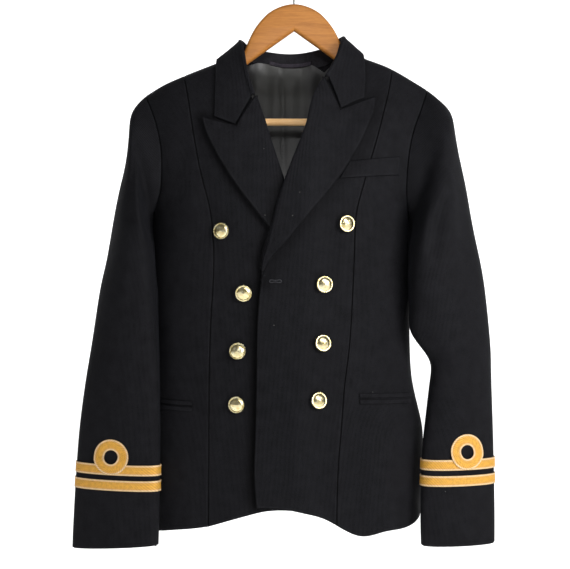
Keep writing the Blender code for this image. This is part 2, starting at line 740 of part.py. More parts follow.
class Sleeve:
    """A sleeve lofted from the armhole through its rings. around counts columns: 0 is the outer edge,
    a quarter of them the front and half of them the inner edge. along counts rings from the armhole."""

    def __init__(self, rings, armhole, hem):
        self.rings = rings
        self.wearer_left = armhole[-1][1] > 0
        self.armhole = self.armhole_loop(armhole, hem)

    def armhole_loop(self, table, hem):
        """The armhole's edge, a seam gap outside it, column by column."""
        front = side_edge(table, hem, 1)[: ARM_ROWS + 1]
        back = side_edge(table, hem, -1)[: ARM_ROWS + 1]
        loop = front + back[-2:0:-1]
        edge = [body_point(place) for place in loop]
        middle = sum(edge, Vector()) / len(edge)
        shifted = []
        for i, place in enumerate(loop):
            normal = body_normal(place)
            tangent = (edge[(i + 1) % len(edge)] - edge[i - 1]).normalized()
            away = middle - edge[i]
            away -= tangent * away.dot(tangent) + normal * away.dot(normal)
            under = (1 - math.cos(2 * math.pi * i / len(edge))) / 2
            shifted.append(edge[i] + away.normalized() * (0.5 + 0.4 * (1 - under) ** 4) + normal * 0.9 * under**2)
        return shifted

    def fold(self, around, ring_number):
        """How far the soft folds push the sleeve out."""
        total = 0.0
        for side, column, number, half_width, half_length, height in SLEEVE_FOLDS:
            if (side == "left") == self.wearer_left:
                across = ((around - column + 10) % SLEEVE_COLUMNS - 10) / half_width
                length = (ring_number - number) / half_length
                total += height * math.exp(-across * across - length * length)
        return total

    def ring_point(self, ring_number, around):
        """A point of a ring, where ring_number counts the rings from 0."""
        outer_x, outer_down, outer_y, inner_x, inner_down, inner_y, front, back = self.rings[ring_number]
        angle = 2 * math.pi * around / SLEEVE_COLUMNS
        outer, inner = Vector((outer_x, outer_y, -outer_down)), Vector((inner_x, inner_y, -inner_down))
        sideways = math.sin(angle)
        depth = front if sideways > 0 else back
        forward = math.copysign(depth * abs(sideways) ** SLEEVE_OVAL, sideways)
        out = (outer - inner) / 2 * math.cos(angle) - Vector((0, forward, 0))
        point = (outer + inner) / 2 + out + out.normalized() * self.fold(around, ring_number + 1)
        if -point.z > UNDERARM:
            side = body_side(point.y, -point.z, self.wearer_left)
            if self.wearer_left:
                point.x = max(point.x, side + SLEEVE_GAP)
            else:
                point.x = min(point.x, side - SLEEVE_GAP)
        return point

    def armhole_point(self, around):
        around %= SLEEVE_COLUMNS
        i = int(around)
        return self.armhole[i].lerp(self.armhole[(i + 1) % SLEEVE_COLUMNS], around - i)

    def point(self, around, along):
        line = [self.armhole_point(around)]
        line += [self.ring_point(number, around) for number in range(len(self.rings))]
        return spline(line, along)

    def normal(self, around, along):
        step = 0.02
        low, high = max(along - step, 0), min(along + step, len(self.rings))
        down_line = self.point(around, high) - self.point(around, low)
        round_line = self.point(around + 0.1, along) - self.point(around - 0.1, along)
        normal = round_line.cross(down_line).normalized()
        return normal if self.wearer_left else -normal

    def row_places(self):
        """along of each row."""
        return list(CAP_ROWS) + [float(k) for k in range(6, len(self.rings) + 1)]

    def skins(self, arounds):
        outer, inner = [], []
        for along in self.row_places():
            points = [self.point(around, along) for around in arounds]
            normals = [self.normal(around, along) for around in arounds]
            outer.append(points)
            inner.append([point - normal * CLOTH for point, normal in zip(points, normals)])
        return outer, inner


def seam_inset(sleeve):
    """A seam gap, which the sleeve's round edges close by half, in columns of the sleeve at the cuff."""
    round_length = (sleeve.point(5, len(sleeve.rings)) - sleeve.point(6, len(sleeve.rings))).length
    return SEAM_GAP / round_length


def build_sleeve(side, rings, armhole, hem):
    sleeve = Sleeve(rings, armhole, hem)
    inset = seam_inset(sleeve)
    top_columns = list(range(HINDARM_SEAM - SLEEVE_COLUMNS, FOREARM_SEAM + 1))
    under_columns = list(range(FOREARM_SEAM, HINDARM_SEAM + 1))
    for name, columns in (("top_sleeve_", top_columns), ("under_sleeve_", under_columns)):
        arounds = [columns[0] + inset] + columns[1:-1] + [columns[-1] - inset]
        outer, inner = sleeve.skins(arounds)
        wall(name + side, outer, inner, "navy_wool")
    return sleeve


class Faceted:
    """The sleeve's outer skin as it is built, for what lies on it."""

    def __init__(self, sleeve):
        self.columns = [
            [sleeve.point(i, along) for along in sleeve.row_places()] for i in range(SLEEVE_COLUMNS)
        ]
        self.normals = [
            [sleeve.normal(i, along) for along in sleeve.row_places()] for i in range(SLEEVE_COLUMNS)
        ]

    def on_column(self, i, down):
        """The point and the normal where a column of the skin crosses a level."""
        line, normals = self.columns[i % SLEEVE_COLUMNS], self.normals[i % SLEEVE_COLUMNS]
        for k in range(len(line) - 1):
            a, b = -line[k].z, -line[k + 1].z
            if a <= down <= b:
                t = (down - a) / (b - a)
                return line[k].lerp(line[k + 1], t), normals[k].lerp(normals[k + 1], t).normalized()
        return line[-1], normals[-1]

    def at(self, x, down):
        """The point and the normal on the sleeve's front at x and down."""
        quarter = SLEEVE_COLUMNS // 2
        line = [self.on_column(i, down) for i in range(quarter + 1)]
        for (a, normal_a), (b, normal_b) in zip(line, line[1:]):
            if min(a.x, b.x) <= x <= max(a.x, b.x) and a.x != b.x:
                t = (x - a.x) / (b.x - a.x)
                return a.lerp(b, t), normal_a.lerp(normal_b, t).normalized()
        return min(line, key=lambda pair: abs(pair[0].x - x))


def build_lace(surfaces):
    """Flat gold rings round each cuff."""
    for name, side, outer_down, inner_down in LACE:
        surface = surfaces[side]
        outer, inner = [[], []], [[], []]
        for i in range(SLEEVE_COLUMNS):
            share = (1 - math.cos(2 * math.pi * i / SLEEVE_COLUMNS)) / 2
            top = outer_down + (inner_down - outer_down) * share
            for row, down in enumerate((top, top + LACE_WIDTH)):
                point, normal = surface.on_column(i, down)
                outer[row].append(point + normal * (LACE_LAY + LACE_CLOTH))
                inner[row].append(point + normal * LACE_LAY)
        wall(name, outer, inner, "gold_lace", closed=True)


def build_curls(surfaces):
    """The curl of lace on each cuff, whose foot rides on the upper ring."""
    steps, rings = 24, (CURL_HOLE, (1 + CURL_HOLE) / 2, 1.0)
    for name, side, x, down, across, up in CURL:
        surface = surfaces[side]
        outer, inner = [], []
        for radius in rings:
            outer.append([])
            inner.append([])
            for k in range(steps):
                angle = 2 * math.pi * k / steps
                low = -radius * math.sin(angle)
                point, normal = surface.at(
                    x + across * radius * math.cos(angle), down + up * low
                )
                lift = 0.5 + (LACE_CLOTH + 0.5) * ease((low + 0.15) / 0.35)
                outer[-1].append(point + normal * (lift + LACE_CLOTH))
                inner[-1].append(point + normal * lift)
        wall(name, outer, inner, "gold_lace", closed=True)


# ---- Collar and lapels

def station(table, at):
    """A collar station between the rows of the table: neck place, edge place, height, upright, lean."""
    def values(row):
        neck = on_body(row[0], row[1], row[2])
        edge = on_body(row[3], row[4], row[5])
        return neck, edge, Vector((row[6], row[7], row[8]))

    rows = [values(row) for row in table]
    return [spline([row[k] for row in rows], at) for k in range(3)]


def build_collar():
    """The stand rises from the neck seam, folds outwards and falls on the shoulders."""
    rows = []
    last = len(COLLAR) - 1
    ends = ((0, GORGE_RIGHT), (last, GORGE_LEFT))
    for s in range(COLLAR_SECTIONS + 1):
        at = last * s / COLLAR_SECTIONS
        neck, edge, (height, upright, lean) = station(COLLAR, at)
        foot = skin(neck, 1.3)
        out = skin(neck.lerp(edge, 0.1)) - skin(neck)
        normal = body_normal(neck)
        rise = normal.lerp(Vector((0, 0, 1)), upright).normalized()
        out = (out - rise * out.dot(rise)).normalized()
        row = []
        stand = height - FOLD_RADIUS
        for share in (0.0, 0.5, 1.0):
            row.append(foot + rise * stand * share - out * lean * share)
        centre = row[-1] + out * FOLD_RADIUS
        for angle in (45, 90, 135):
            turn = math.radians(angle)
            row.append(centre + (rise * math.sin(turn) - out * math.cos(turn)) * FOLD_RADIUS)
        top = centre + out * FOLD_RADIUS
        over_ridge = math.exp(-((neck.lerp(edge, 0.7).y / 0.3) ** 2))
        gap = LAY_GAP + COLLAR_CLOTH / 2 + COLLAR_PROUD * over_ridge
        for w in (0.0, GORGE_SHARE / 2, GORGE_SHARE, 0.8, 1.0):
            place = neck.lerp(edge, w)
            for end, (notch_x, notch_down) in ends:
                near = max(0.0, 1 - abs(at - end) / 1.6) ** 1.5
                bend = on_body(notch_x, notch_down) - neck.lerp(edge, GORGE_SHARE)
                peak = w / GORGE_SHARE if w < GORGE_SHARE else (1 - w) / (1 - GORGE_SHARE)
                place += bend * near * peak
            lie = skin(place, gap)
            start_at = skin(neck, gap)
            row.append(lie + (top - start_at) * (1 - w) ** 1.4)
        rows.append(row)
    return sheet("collar", rows, COLLAR_CLOTH, "navy_wool")


def build_lapel(name, roll_table, outer_table, notch, lift_of):
    """A lapel turns round the front's roll line and lies out over it, up to its peak."""
    length_rows, width_columns = 13, 6
    gorge_down = next(down for down, x in roll_table[3:4])
    gorge = Vector((smooth(roll_table, gorge_down), gorge_down))
    peak = Vector((outer_table[0][1], outer_table[0][0]))
    notch = Vector(notch) + Vector((0.0, NOTCH_GAP))
    outward = 1 if outer_table[0][1] > 0 else -1
    rows = []
    for j in range(length_rows + 1):
        s = j / length_rows
        down_in = gorge.y + 1.5 + (LAPEL_BREAK - gorge.y - 1.5) * s
        down_out = peak.y + (LAPEL_BREAK - peak.y) * s
        inside = Vector((smooth(roll_table, down_in), down_in))
        outside = Vector((smooth(outer_table, down_out), down_out))
        half = COLLAR_CLOTH / 2
        row = []
        for height in (-CLOTH + 0.6, -0.2):
            place = on_body(inside.x - outward * (1.1 + half), inside.y)
            row.append(skin(place, lift_of(body_point(place)) + height))
        for i in range(width_columns + 1):
            w = i / width_columns
            flat = inside.lerp(outside, w)
            share = (notch - gorge).length / ((notch - gorge).length + (peak - notch).length)
            along = w / share if w < share else (1 - w) / (1 - share)
            bend = notch - gorge.lerp(peak, share)
            flat += bend * along * max(0.0, 1 - 2.2 * s) ** 2
            place = on_body(flat.x, flat.y)
            bulge = ROLL_BULGE * math.sin(math.pi * min(w * 1.6, 1.0)) * (1 - s)
            lie = LAY_GAP + half + bulge
            row.append(skin(place, lift_of(body_point(place)) + lie))
        rows.append(row)
    return sheet(name, rows, COLLAR_CLOTH, "navy_wool")


# ---- Pockets, buttons, lining

def build_welt():
    """A flat welt that stands on the left chest."""
    columns, rows_count = 6, 2
    (ax, az), (bx, bz), (cx, cz), (dx, dz) = WELT
    outer, inner = [], []
    for j in range(rows_count + 1):
        v = j / rows_count
        outer.append([])
        inner.append([])
        for i in range(columns + 1):
            u = i / columns
            x = (ax + (bx - ax) * u) * (1 - v) + (dx + (cx - dx) * u) * v
            down = (az + (bz - az) * u) * (1 - v) + (dz + (cz - dz) * u) * v
            place = on_body(x, down)
            base = lap_lift(body_point(place)) + LAY_GAP - 0.3
            outer[-1].append(skin(place, base + 1.6))
            inner[-1].append(skin(place, base))
    return wall("breast_welt", outer, inner, "navy_wool")


def build_jets(sides):
    """Two narrow jets frame each hip pocket's slit."""
    columns = 8
    for name, start_x, end_x, start_down, end_down in JETS:
        grid = sides[name.split("_")[2]]
        first, last = on_body(start_x, start_down).x, on_body(end_x, end_down).x
        outer, inner = [[], []], [[], []]
        for i in range(columns + 1):
            u = i / columns
            down = start_down + (end_down - start_down) * u
            turn = first + (last - first) * u
            for row, level in enumerate((down, down + JET_WIDTH)):
                aside = smooth(BODY, level, 1), smooth(BODY, level, 2)
                x = sum(aside) / 2 + (aside[1] - aside[0]) / 2 * math.sin(turn)
                point, normal = on_facets(grid, x, level)
                outer[row].append(point + normal * (JET_LAY + JET_RELIEF))
                inner[row].append(point + normal * JET_LAY)
        wall(name, outer, inner, "navy_wool")


def build_buttons(fronts):
    """Domed shank buttons: a turned profile, stood on the cloth."""
    for name, x, down, forward_tilt, side_tilt in BUTTONS:
        profile = bpy.data.meshes.new(name)
        points = [
            (radius * BUTTON_RADIUS * MM, 0, height * BUTTON_RADIUS * MM)
            for radius, height in reversed(BUTTON_PROFILE)
        ]
        profile.from_pydata(points, [(i, i + 1) for i in range(len(points) - 1)], [])
        button = add_object(name, profile, "gilt_brass")
        turned = button.modifiers.new("turned", "SCREW")
        turned.steps = turned.render_steps = BUTTON_SIDES
        turned.use_merge_vertices = True
        turned.merge_threshold = 0.00001
        turned.use_smooth_shade = True
        point, normal = on_facets(fronts[name.split("_")[1]], x, down)
        button.location = (point + normal * BUTTON_STANDS) * MM
        button.rotation_mode = "QUATERNION"
        tilted = normal.copy()
        tilted.x += math.sin(math.radians(side_tilt))
        tilted.z += math.sin(math.radians(forward_tilt))
        button.rotation_quaternion = tilted.to_track_quat("Z", "Y")


def build_lining(backs):
    """The back lining in two halves, inside the back's own cloth and short of its edges."""
    for side, places in backs.items():
        outer, inner = [], []
        for row in places[LINING_FIRST_ROW:-1]:
            behind = [place for place in row[1:]]
            outer.append([skin(place, -CLOTH - LINING_LAY) for place in behind])
            inner.append([skin(place, -CLOTH - LINING_LAY - LINING_CLOTH) for place in behind])
        wall("lining_" + side, outer, inner, "black_lining")


def build_loop():
    """The cloth loop across the back neck, a flat strip."""
    rows = []
    columns = 8
    for level in (0.0, 1.0):
        row = []
        for i in range(columns + 1):
            u = i / columns * 2 - 1
            down = LOOP_DOWN + 3.0 * (1 - u * u) + LOOP_WIDTH * level
            place = on_body(CENTRE_BACK + LOOP_HALF * u, down, -1)
            row.append(skin(place, -CLOTH - 1.4 - 3.0 * (1 - u * u)))
        rows.append(row)
    return sheet("hanging_loop", rows, LINING_CLOTH + 0.2, "black_lining")


# ---- Hanger

def hanger_outline():
    """The right half of the wood's outline, from the apex round to the crotch."""
    half = list(HANGER_NECK)
    for x, below in HANGER_ARM:
        ridge = max(smooth(SHOULDER, x), smooth(SHOULDER, -x))
        half.append((x, ridge + below))
    return half + list(HANGER_TIP)


def solid_curve(name, material):
    """A curve object that is turned into a closed mesh."""
    curve = bpy.data.objects[name]
    bpy.context.view_layer.update()
    graph = bpy.context.evaluated_depsgraph_get()
    mesh = bpy.data.meshes.new_from_object(curve.evaluated_get(graph))
    shape = bmesh.new()
    shape.from_mesh(mesh)
    bmesh.ops.remove_doubles(shape, verts=shape.verts, dist=0.00001)
    shape.to_mesh(mesh)
    shape.free()
    bpy.data.objects.remove(curve)
    mesh.materials.clear()
    return add_object(name, mesh, material)


def build_hanger():
    half = hanger_outline()
    outline = half + [(0.0, HANGER_CROTCH)] + [(-x, down) for x, down in reversed(half[1:])]
    curve = bpy.data.curves.new("hanger_wood", "CURVE")
    curve.dimensions = "2D"
    curve.fill_mode = "BOTH"
    curve.extrude = (WOOD_THICK / 2 - WOOD_ROUND) * MM
    curve.bevel_depth = WOOD_ROUND * MM
    curve.bevel_resolution = 1
    curve.offset = -WOOD_ROUND * MM
    line = curve.splines.new("POLY")
    line.points.add(len(outline) - 1)
    line.use_cyclic_u = True
    for point, (x, down) in zip(line.points, outline):
        point.co = (x * MM, -down * MM, 0, 1)
    wood = bpy.data.objects.new("hanger_wood", curve)
    wood.rotation_euler = (math.pi / 2, 0, 0)
    collection.objects.link(wood)
    turned = wood.rotation_euler.copy()
    wood = solid_curve("hanger_wood", "beech_wood")
    wood.rotation_euler = turned

    bpy.ops.mesh.primitive_cylinder_add(
        vertices=16,
        radius=BAR_RADIUS * MM,
        depth=2 * BAR_HALF * MM,
        location=(0, 0, -BAR_DOWN * MM),
        rotation=(0, math.pi / 2, 0),
    )
    bar = bpy.context.object
    bar.name = bar.data.name = "trouser_bar"
    bar.data.materials.append(finish("beech_wood"))
    for home in list(bar.users_collection):
        home.objects.unlink(bar)
    collection.objects.link(bar)
    bar.data.shade_smooth()
    bar.data.set_sharp_from_angle(angle=math.radians(50))

    radius = HOOK_BEND + HOOK_WIRE / 2
    route = [Vector((0, 0, -HANGER_NECK[0][1] + 0.3))]
    route.append(Vector((0, 0, -HOOK_BEND * 2.0 - 8.0)))
    route.append(Vector((6.0, 0, -HOOK_BEND * 2.0 + 1.0)))
    for step in range(13):
        angle = math.radians(-35 + step * 18.75)
        route.append(Vector((math.cos(angle), 0, math.sin(angle))) * radius - Vector((0, 0, HOOK_BEND)))
    hook = bpy.data.curves.new("hook", "CURVE")
    hook.dimensions = "3D"
    hook.bevel_depth = HOOK_WIRE / 2 * MM
    hook.bevel_resolution = 2
    hook.use_fill_caps = True
    line = hook.splines.new("POLY")
    line.points.add(len(route) - 1)
    for point, place in zip(line.points, route):
        point.co = (*(place * MM), 1)
    hook_object = bpy.data.objects.new("hook", hook)
    collection.objects.link(hook_object)
    solid_curve("hook", "steel_wire").data.shade_smooth()


def main():
    global collection
    collection = start()
    fronts, sides, backs = build_body()
    right = build_sleeve("right", SLEEVE_RIGHT, ARMHOLE_RIGHT, HEM_SIDE_RIGHT)
    left = build_sleeve("left", SLEEVE_LEFT, ARMHOLE_LEFT, HEM_SIDE_LEFT)
    surfaces = {"right": Faceted(right), "left": Faceted(left)}
    build_lace(surfaces)
    build_curls(surfaces)
    build_collar()
    build_lapel("lapel_right", EDGE_RIGHT, LAPEL_RIGHT, GORGE_RIGHT, lambda point: 0.0)
    build_lapel("lapel_left", EDGE_LEFT, LAPEL_LEFT, GORGE_LEFT, lap_lift)
    build_welt()
    build_jets(sides)
    build_buttons(fronts)
    build_lining(backs)
    build_loop()
    build_hanger()


main()
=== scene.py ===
# %% [markdown]
# # A military dress tunic on its hanger
# The solids of the tunic are already in place. Each cell below dresses one kind of piece: the cloth panels
# are smoothed and pressed, the lace gets its ribs, the buttons their rims, and the hanger its grain.
# Lengths in the tables are millimetres, the model is in metres, and left and right are the wearer's.

# %% Load the tunic's solids
import math

import bmesh
import bpy
import numpy as np
from mathutils import Matrix, Vector, kdtree
from mathutils.bvhtree import BVHTree


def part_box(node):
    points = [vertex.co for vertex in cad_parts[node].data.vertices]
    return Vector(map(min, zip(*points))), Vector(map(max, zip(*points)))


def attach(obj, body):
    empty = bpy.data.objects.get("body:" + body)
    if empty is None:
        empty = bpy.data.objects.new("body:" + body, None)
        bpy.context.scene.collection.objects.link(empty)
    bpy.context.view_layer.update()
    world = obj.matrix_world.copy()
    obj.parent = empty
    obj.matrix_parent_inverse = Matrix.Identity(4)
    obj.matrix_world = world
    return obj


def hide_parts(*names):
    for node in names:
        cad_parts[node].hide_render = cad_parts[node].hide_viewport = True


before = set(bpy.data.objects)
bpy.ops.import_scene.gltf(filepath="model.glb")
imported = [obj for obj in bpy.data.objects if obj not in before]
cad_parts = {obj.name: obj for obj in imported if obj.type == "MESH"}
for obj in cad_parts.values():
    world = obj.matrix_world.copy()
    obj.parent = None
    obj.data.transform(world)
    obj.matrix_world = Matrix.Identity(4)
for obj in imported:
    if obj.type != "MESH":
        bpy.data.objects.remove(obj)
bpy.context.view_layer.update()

MM = 0.001
print("solids loaded:", len(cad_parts))

# %% [markdown]
# ## Camera
# The tunic hangs square to the viewer, who stands a metre and a half away, level with the middle of it. A
# fairly long lens keeps the shoulders and the hem in proportion.

# %% Camera
PICTURE_WIDTH = 570  # pixels
STAND_OFF = 1.480  # from the hook to the lens
FRONT_OFF = 1.4  # from the tunic's front to the lens
METRES_A_PIXEL = 0.00133  # at the tunic's front
SENSOR = 36.0
EYE_ASIDE, EYE_HEIGHT = -0.01265, -0.4688


def bring_in(name, data):
    """A new object in the scene."""
    made = bpy.data.objects.new(name, data)
    bpy.context.scene.collection.objects.link(made)
    return made


view = bpy.data.cameras.new("studio_camera")
view.sensor_width = SENSOR
view.lens = SENSOR * FRONT_OFF / (PICTURE_WIDTH * METRES_A_PIXEL)
view.clip_end = 20.0
camera = bring_in("studio_camera", view)
camera.location = (EYE_ASIDE, -STAND_OFF, EYE_HEIGHT)
camera.rotation_euler = (math.pi / 2, 0, 0)
bpy.context.scene.camera = camera
print("lens", round(view.lens, 1), "mm")

# %% [markdown]
# ## Finishes
# Every finish starts from a colour written as on a swatch card. One function turns it into the light
# values that Blender mixes, and another adds a node with its settings and its links.

# %% Colours and nodes


def tint(swatch):
    """A hex swatch as linear colour."""
    parts = [int(swatch[i : i + 2], 16) / 255 for i in (1, 3, 5)]
    return (*[p / 12.92 if p <= 0.04045 else ((p + 0.055) / 1.055) ** 2.4 for p in parts], 1.0)


def plug(tree, made, inputs):
    """Sets a node's sockets. inputs maps a socket's name or number to a value or another node's output."""
    for key, value in inputs.items():
        if isinstance(value, bpy.types.NodeSocket):
            tree.links.new(value, made.inputs[key])
        else:
            made.inputs[key].default_value = value


def add(tree, kind, inputs=None, **settings):
    """Adds a node with its settings and plugs in its inputs."""
    made = tree.nodes.new(kind)
    for key, value in settings.items():
        setattr(made, key, value)
    plug(tree, made, inputs or {})
    return made


def finish(name, even):
    """A new material and its shader. even sets the shader's sockets that are the same all over."""
    made = bpy.data.materials.new(name)
    made.use_nodes = True
    tree = made.node_tree
    shader = tree.nodes["Principled BSDF"]
    plug(tree, shader, even)
    return made, tree, shader


def set_stops(ramp, *stops):
    """Gives a colour ramp its stops, each a position and a swatch."""
    row = ramp.color_ramp.elements
    while len(row) < len(stops):
        row.new(0.5)
    for stop, (position, swatch) in zip(row, stops):
        stop.position, stop.color = position, tint(swatch)


def coat(obj, material):
    """Gives a piece one finish all over."""
    obj.data.materials.clear()
    obj.data.materials.append(material)


def sine_period(metres):
    """The Wave Texture's scale whose bands come once in this many metres."""
    return 2 * math.pi / (20 * metres)


# %% [markdown]
# Blender's operators act on whatever is selected. These small tools select one object, open or close it for
# editing, and read or write the places of its points as one array.

# %% Small tools for working as by hand


def only(*chosen):
    """Selects these objects and nothing else."""
    if bpy.context.object and bpy.context.object.mode != "OBJECT":
        bpy.ops.object.mode_set(mode="OBJECT")
    bpy.ops.object.select_all(action="DESELECT")
    for obj in chosen:
        obj.select_set(True)
    bpy.context.view_layer.objects.active = chosen[0]


def edit(obj, mode="VERT"):
    """Opens an object in edit mode with everything selected."""
    only(obj)
    bpy.ops.object.mode_set(mode="EDIT")
    bpy.ops.mesh.select_mode(type=mode)
    bpy.ops.mesh.select_all(action="SELECT")


def close():
    bpy.ops.object.mode_set(mode="OBJECT")


def unselect(obj, mode):
    """Leaves an object with none of its points, edges or faces selected."""
    edit(obj, mode)
    bpy.ops.mesh.select_all(action="DESELECT")
    close()


def settle(obj):
    """Puts an object's place and turn into its mesh."""
    only(obj)
    bpy.ops.object.transform_apply(location=True, rotation=True, scale=True)


def apply_all(obj):
    only(obj)
    for modifier in list(obj.modifiers):
        bpy.ops.object.modifier_apply(modifier=modifier.name)


def coordinates(mesh):
    """The places of a mesh's points, as an array."""
    flat = np.empty(len(mesh.vertices) * 3, np.float32)
    mesh.vertices.foreach_get("co", flat)
    return flat.reshape(-1, 3).astype(float)


def move_points(mesh, places):
    mesh.vertices.foreach_set("co", np.asarray(places, np.float32).ravel())
    mesh.update()


def note(mesh, name, values):
    """Writes one number at each point, for a material to read."""
    noted = mesh.attributes.new(name, "FLOAT", "POINT")
    noted.data.foreach_set("value", values.astype(np.float32))


def search_tree(points):
    """A tree that finds the nearest of these points."""
    tree = kdtree.KDTree(len(points))
    for number, point in enumerate(points):
        tree.insert(point, number)
    tree.balance()
    return tree


def surface_tree(mesh):
    """A tree that finds where a ray meets a mesh, or the nearest place on it."""
    return BVHTree.FromPolygons(coordinates(mesh).tolist(), [tuple(face.vertices) for face in mesh.polygons])


# %% [markdown]
# ## Studio
# Dark cloth shows its shape only by what it reflects, so the room is bright all round: a white sweep well
# behind and below, large soft lights in front, a weak one behind, and a narrow one that looks into the neck.
# The sweep stands so far off that one can walk round the tunic, and the air beyond it is white to the eye.

# %% Studio
SWEEP_BACK, SWEEP_FLOOR, SWEEP_SIZE, SWEEP_HEIGHT, COVE = 3.0, -1.25, 12.0, 5.0, 0.6
LIGHTS_AIM = (-0.012, 0.0, -0.45)
LIGHTS = (  # name, place, size, watts
    ("key", (0.75, -1.8, 0.9), 1.0, 15.0),
    ("side_right", (0.95, -0.95, -0.2), 0.6, 13.0),
    ("fill_left", (-1.5, -1.7, 0.3), 1.2, 0.6),
    ("behind", (-0.7, 2.3, 0.9), 1.4, 7.0),
)
NECK_PLACE, NECK_AIM = (0.0, -1.7, 0.12), (-0.012, 0.02, -0.19)
NECK_DEGREES, NECK_SIZE, NECK_WATTS = 10.5, 0.15, 75.0


def hang_light(lamp, place, aim):
    """Hangs a light that looks at a point and is itself unseen."""
    stand = bring_in(lamp.name, lamp)
    stand.location = place
    stand.rotation_euler = (Vector(aim) - Vector(place)).to_track_quat("-Z", "Y").to_euler()
    stand.visible_camera = False


bpy.ops.object.select_all(action="DESELECT")
bpy.ops.mesh.primitive_plane_add(size=SWEEP_SIZE, location=(0, SWEEP_BACK - SWEEP_SIZE / 2, SWEEP_FLOOR))
sweep = bpy.context.object
sweep.name = "white_sweep"
unselect(sweep, "EDGE")
for edge in sweep.data.edges:
    edge.select = all(sweep.data.vertices[v].co.y > 0 for v in edge.vertices)
bpy.ops.object.mode_set(mode="EDIT")
bpy.ops.mesh.extrude_region_move(TRANSFORM_OT_translate={"value": (0, 0, SWEEP_HEIGHT)})
close()
settle(sweep)
bend = sweep.modifiers.new("cove", "BEVEL")
bend.width, bend.segments = COVE, 12
apply_all(sweep)
bpy.ops.object.shade_smooth()
paper, paper_tree, paper_shader = finish("white_paper", {"Roughness": 0.9, "Emission Color": (1, 1, 1, 1),
                                                         "Emission Strength": 0.7})
grain = add(paper_tree, "ShaderNodeTexNoise", {"Scale": 3.0})
shade = add(paper_tree, "ShaderNodeMapRange", {"Value": grain.outputs["Fac"], "To Min": 0.93, "To Max": 0.97})
paper_tree.links.new(shade.outputs["Result"], paper_shader.inputs["Base Color"])
sweep.data.materials.append(paper)

for name, place, size, watts in LIGHTS:
    lamp = bpy.data.lights.new(name, "AREA")
    lamp.size, lamp.energy = size, watts
    hang_light(lamp, place, LIGHTS_AIM)
snoot = bpy.data.lights.new("neck", "SPOT")
snoot.energy, snoot.spot_size, snoot.spot_blend = NECK_WATTS, math.radians(NECK_DEGREES), 1.0
snoot.shadow_soft_size = NECK_SIZE
hang_light(snoot, NECK_PLACE, NECK_AIM)

room = bpy.data.worlds.new("white_room")
room.use_nodes = True
air = room.node_tree.nodes["Background"]
air.inputs["Color"].default_value = (1, 1, 1, 1)
path = add(room.node_tree, "ShaderNodeLightPath")
seen = add(room.node_tree, "ShaderNodeMapRange", {"Value": path.outputs["Is Camera Ray"], "To Min": 0.15,
           "To Max": 1.0})
room.node_tree.links.new(seen.outputs["Result"], air.inputs["Strength"])
bpy.context.scene.world = room
bpy.context.scene.view_settings.view_transform = "Standard"
print("lights:", len(bpy.data.lights))

# %% [markdown]
# ### Navy barathea
# Dress tunics are cut from barathea, a closely woven wool whose fine ribs run down the cloth. It is so dark
# a blue that it reads as black, and only its bloom of loose fibre and its ribs catch the light. The real
# ribs are half a millimetre apart, too fine to see, so they are drawn more than three times as coarse. The
# pattern reads each panel's own flat layout, so it bends with the cloth.

# %% Navy barathea
RIB = 1.7 * MM
BLOOM = 14.0  # mm across a patch where the nap lies a little differently
LINT_SPACING, LINT_SIZE = 34.0 * MM, 0.014  # the size is a share of the spacing


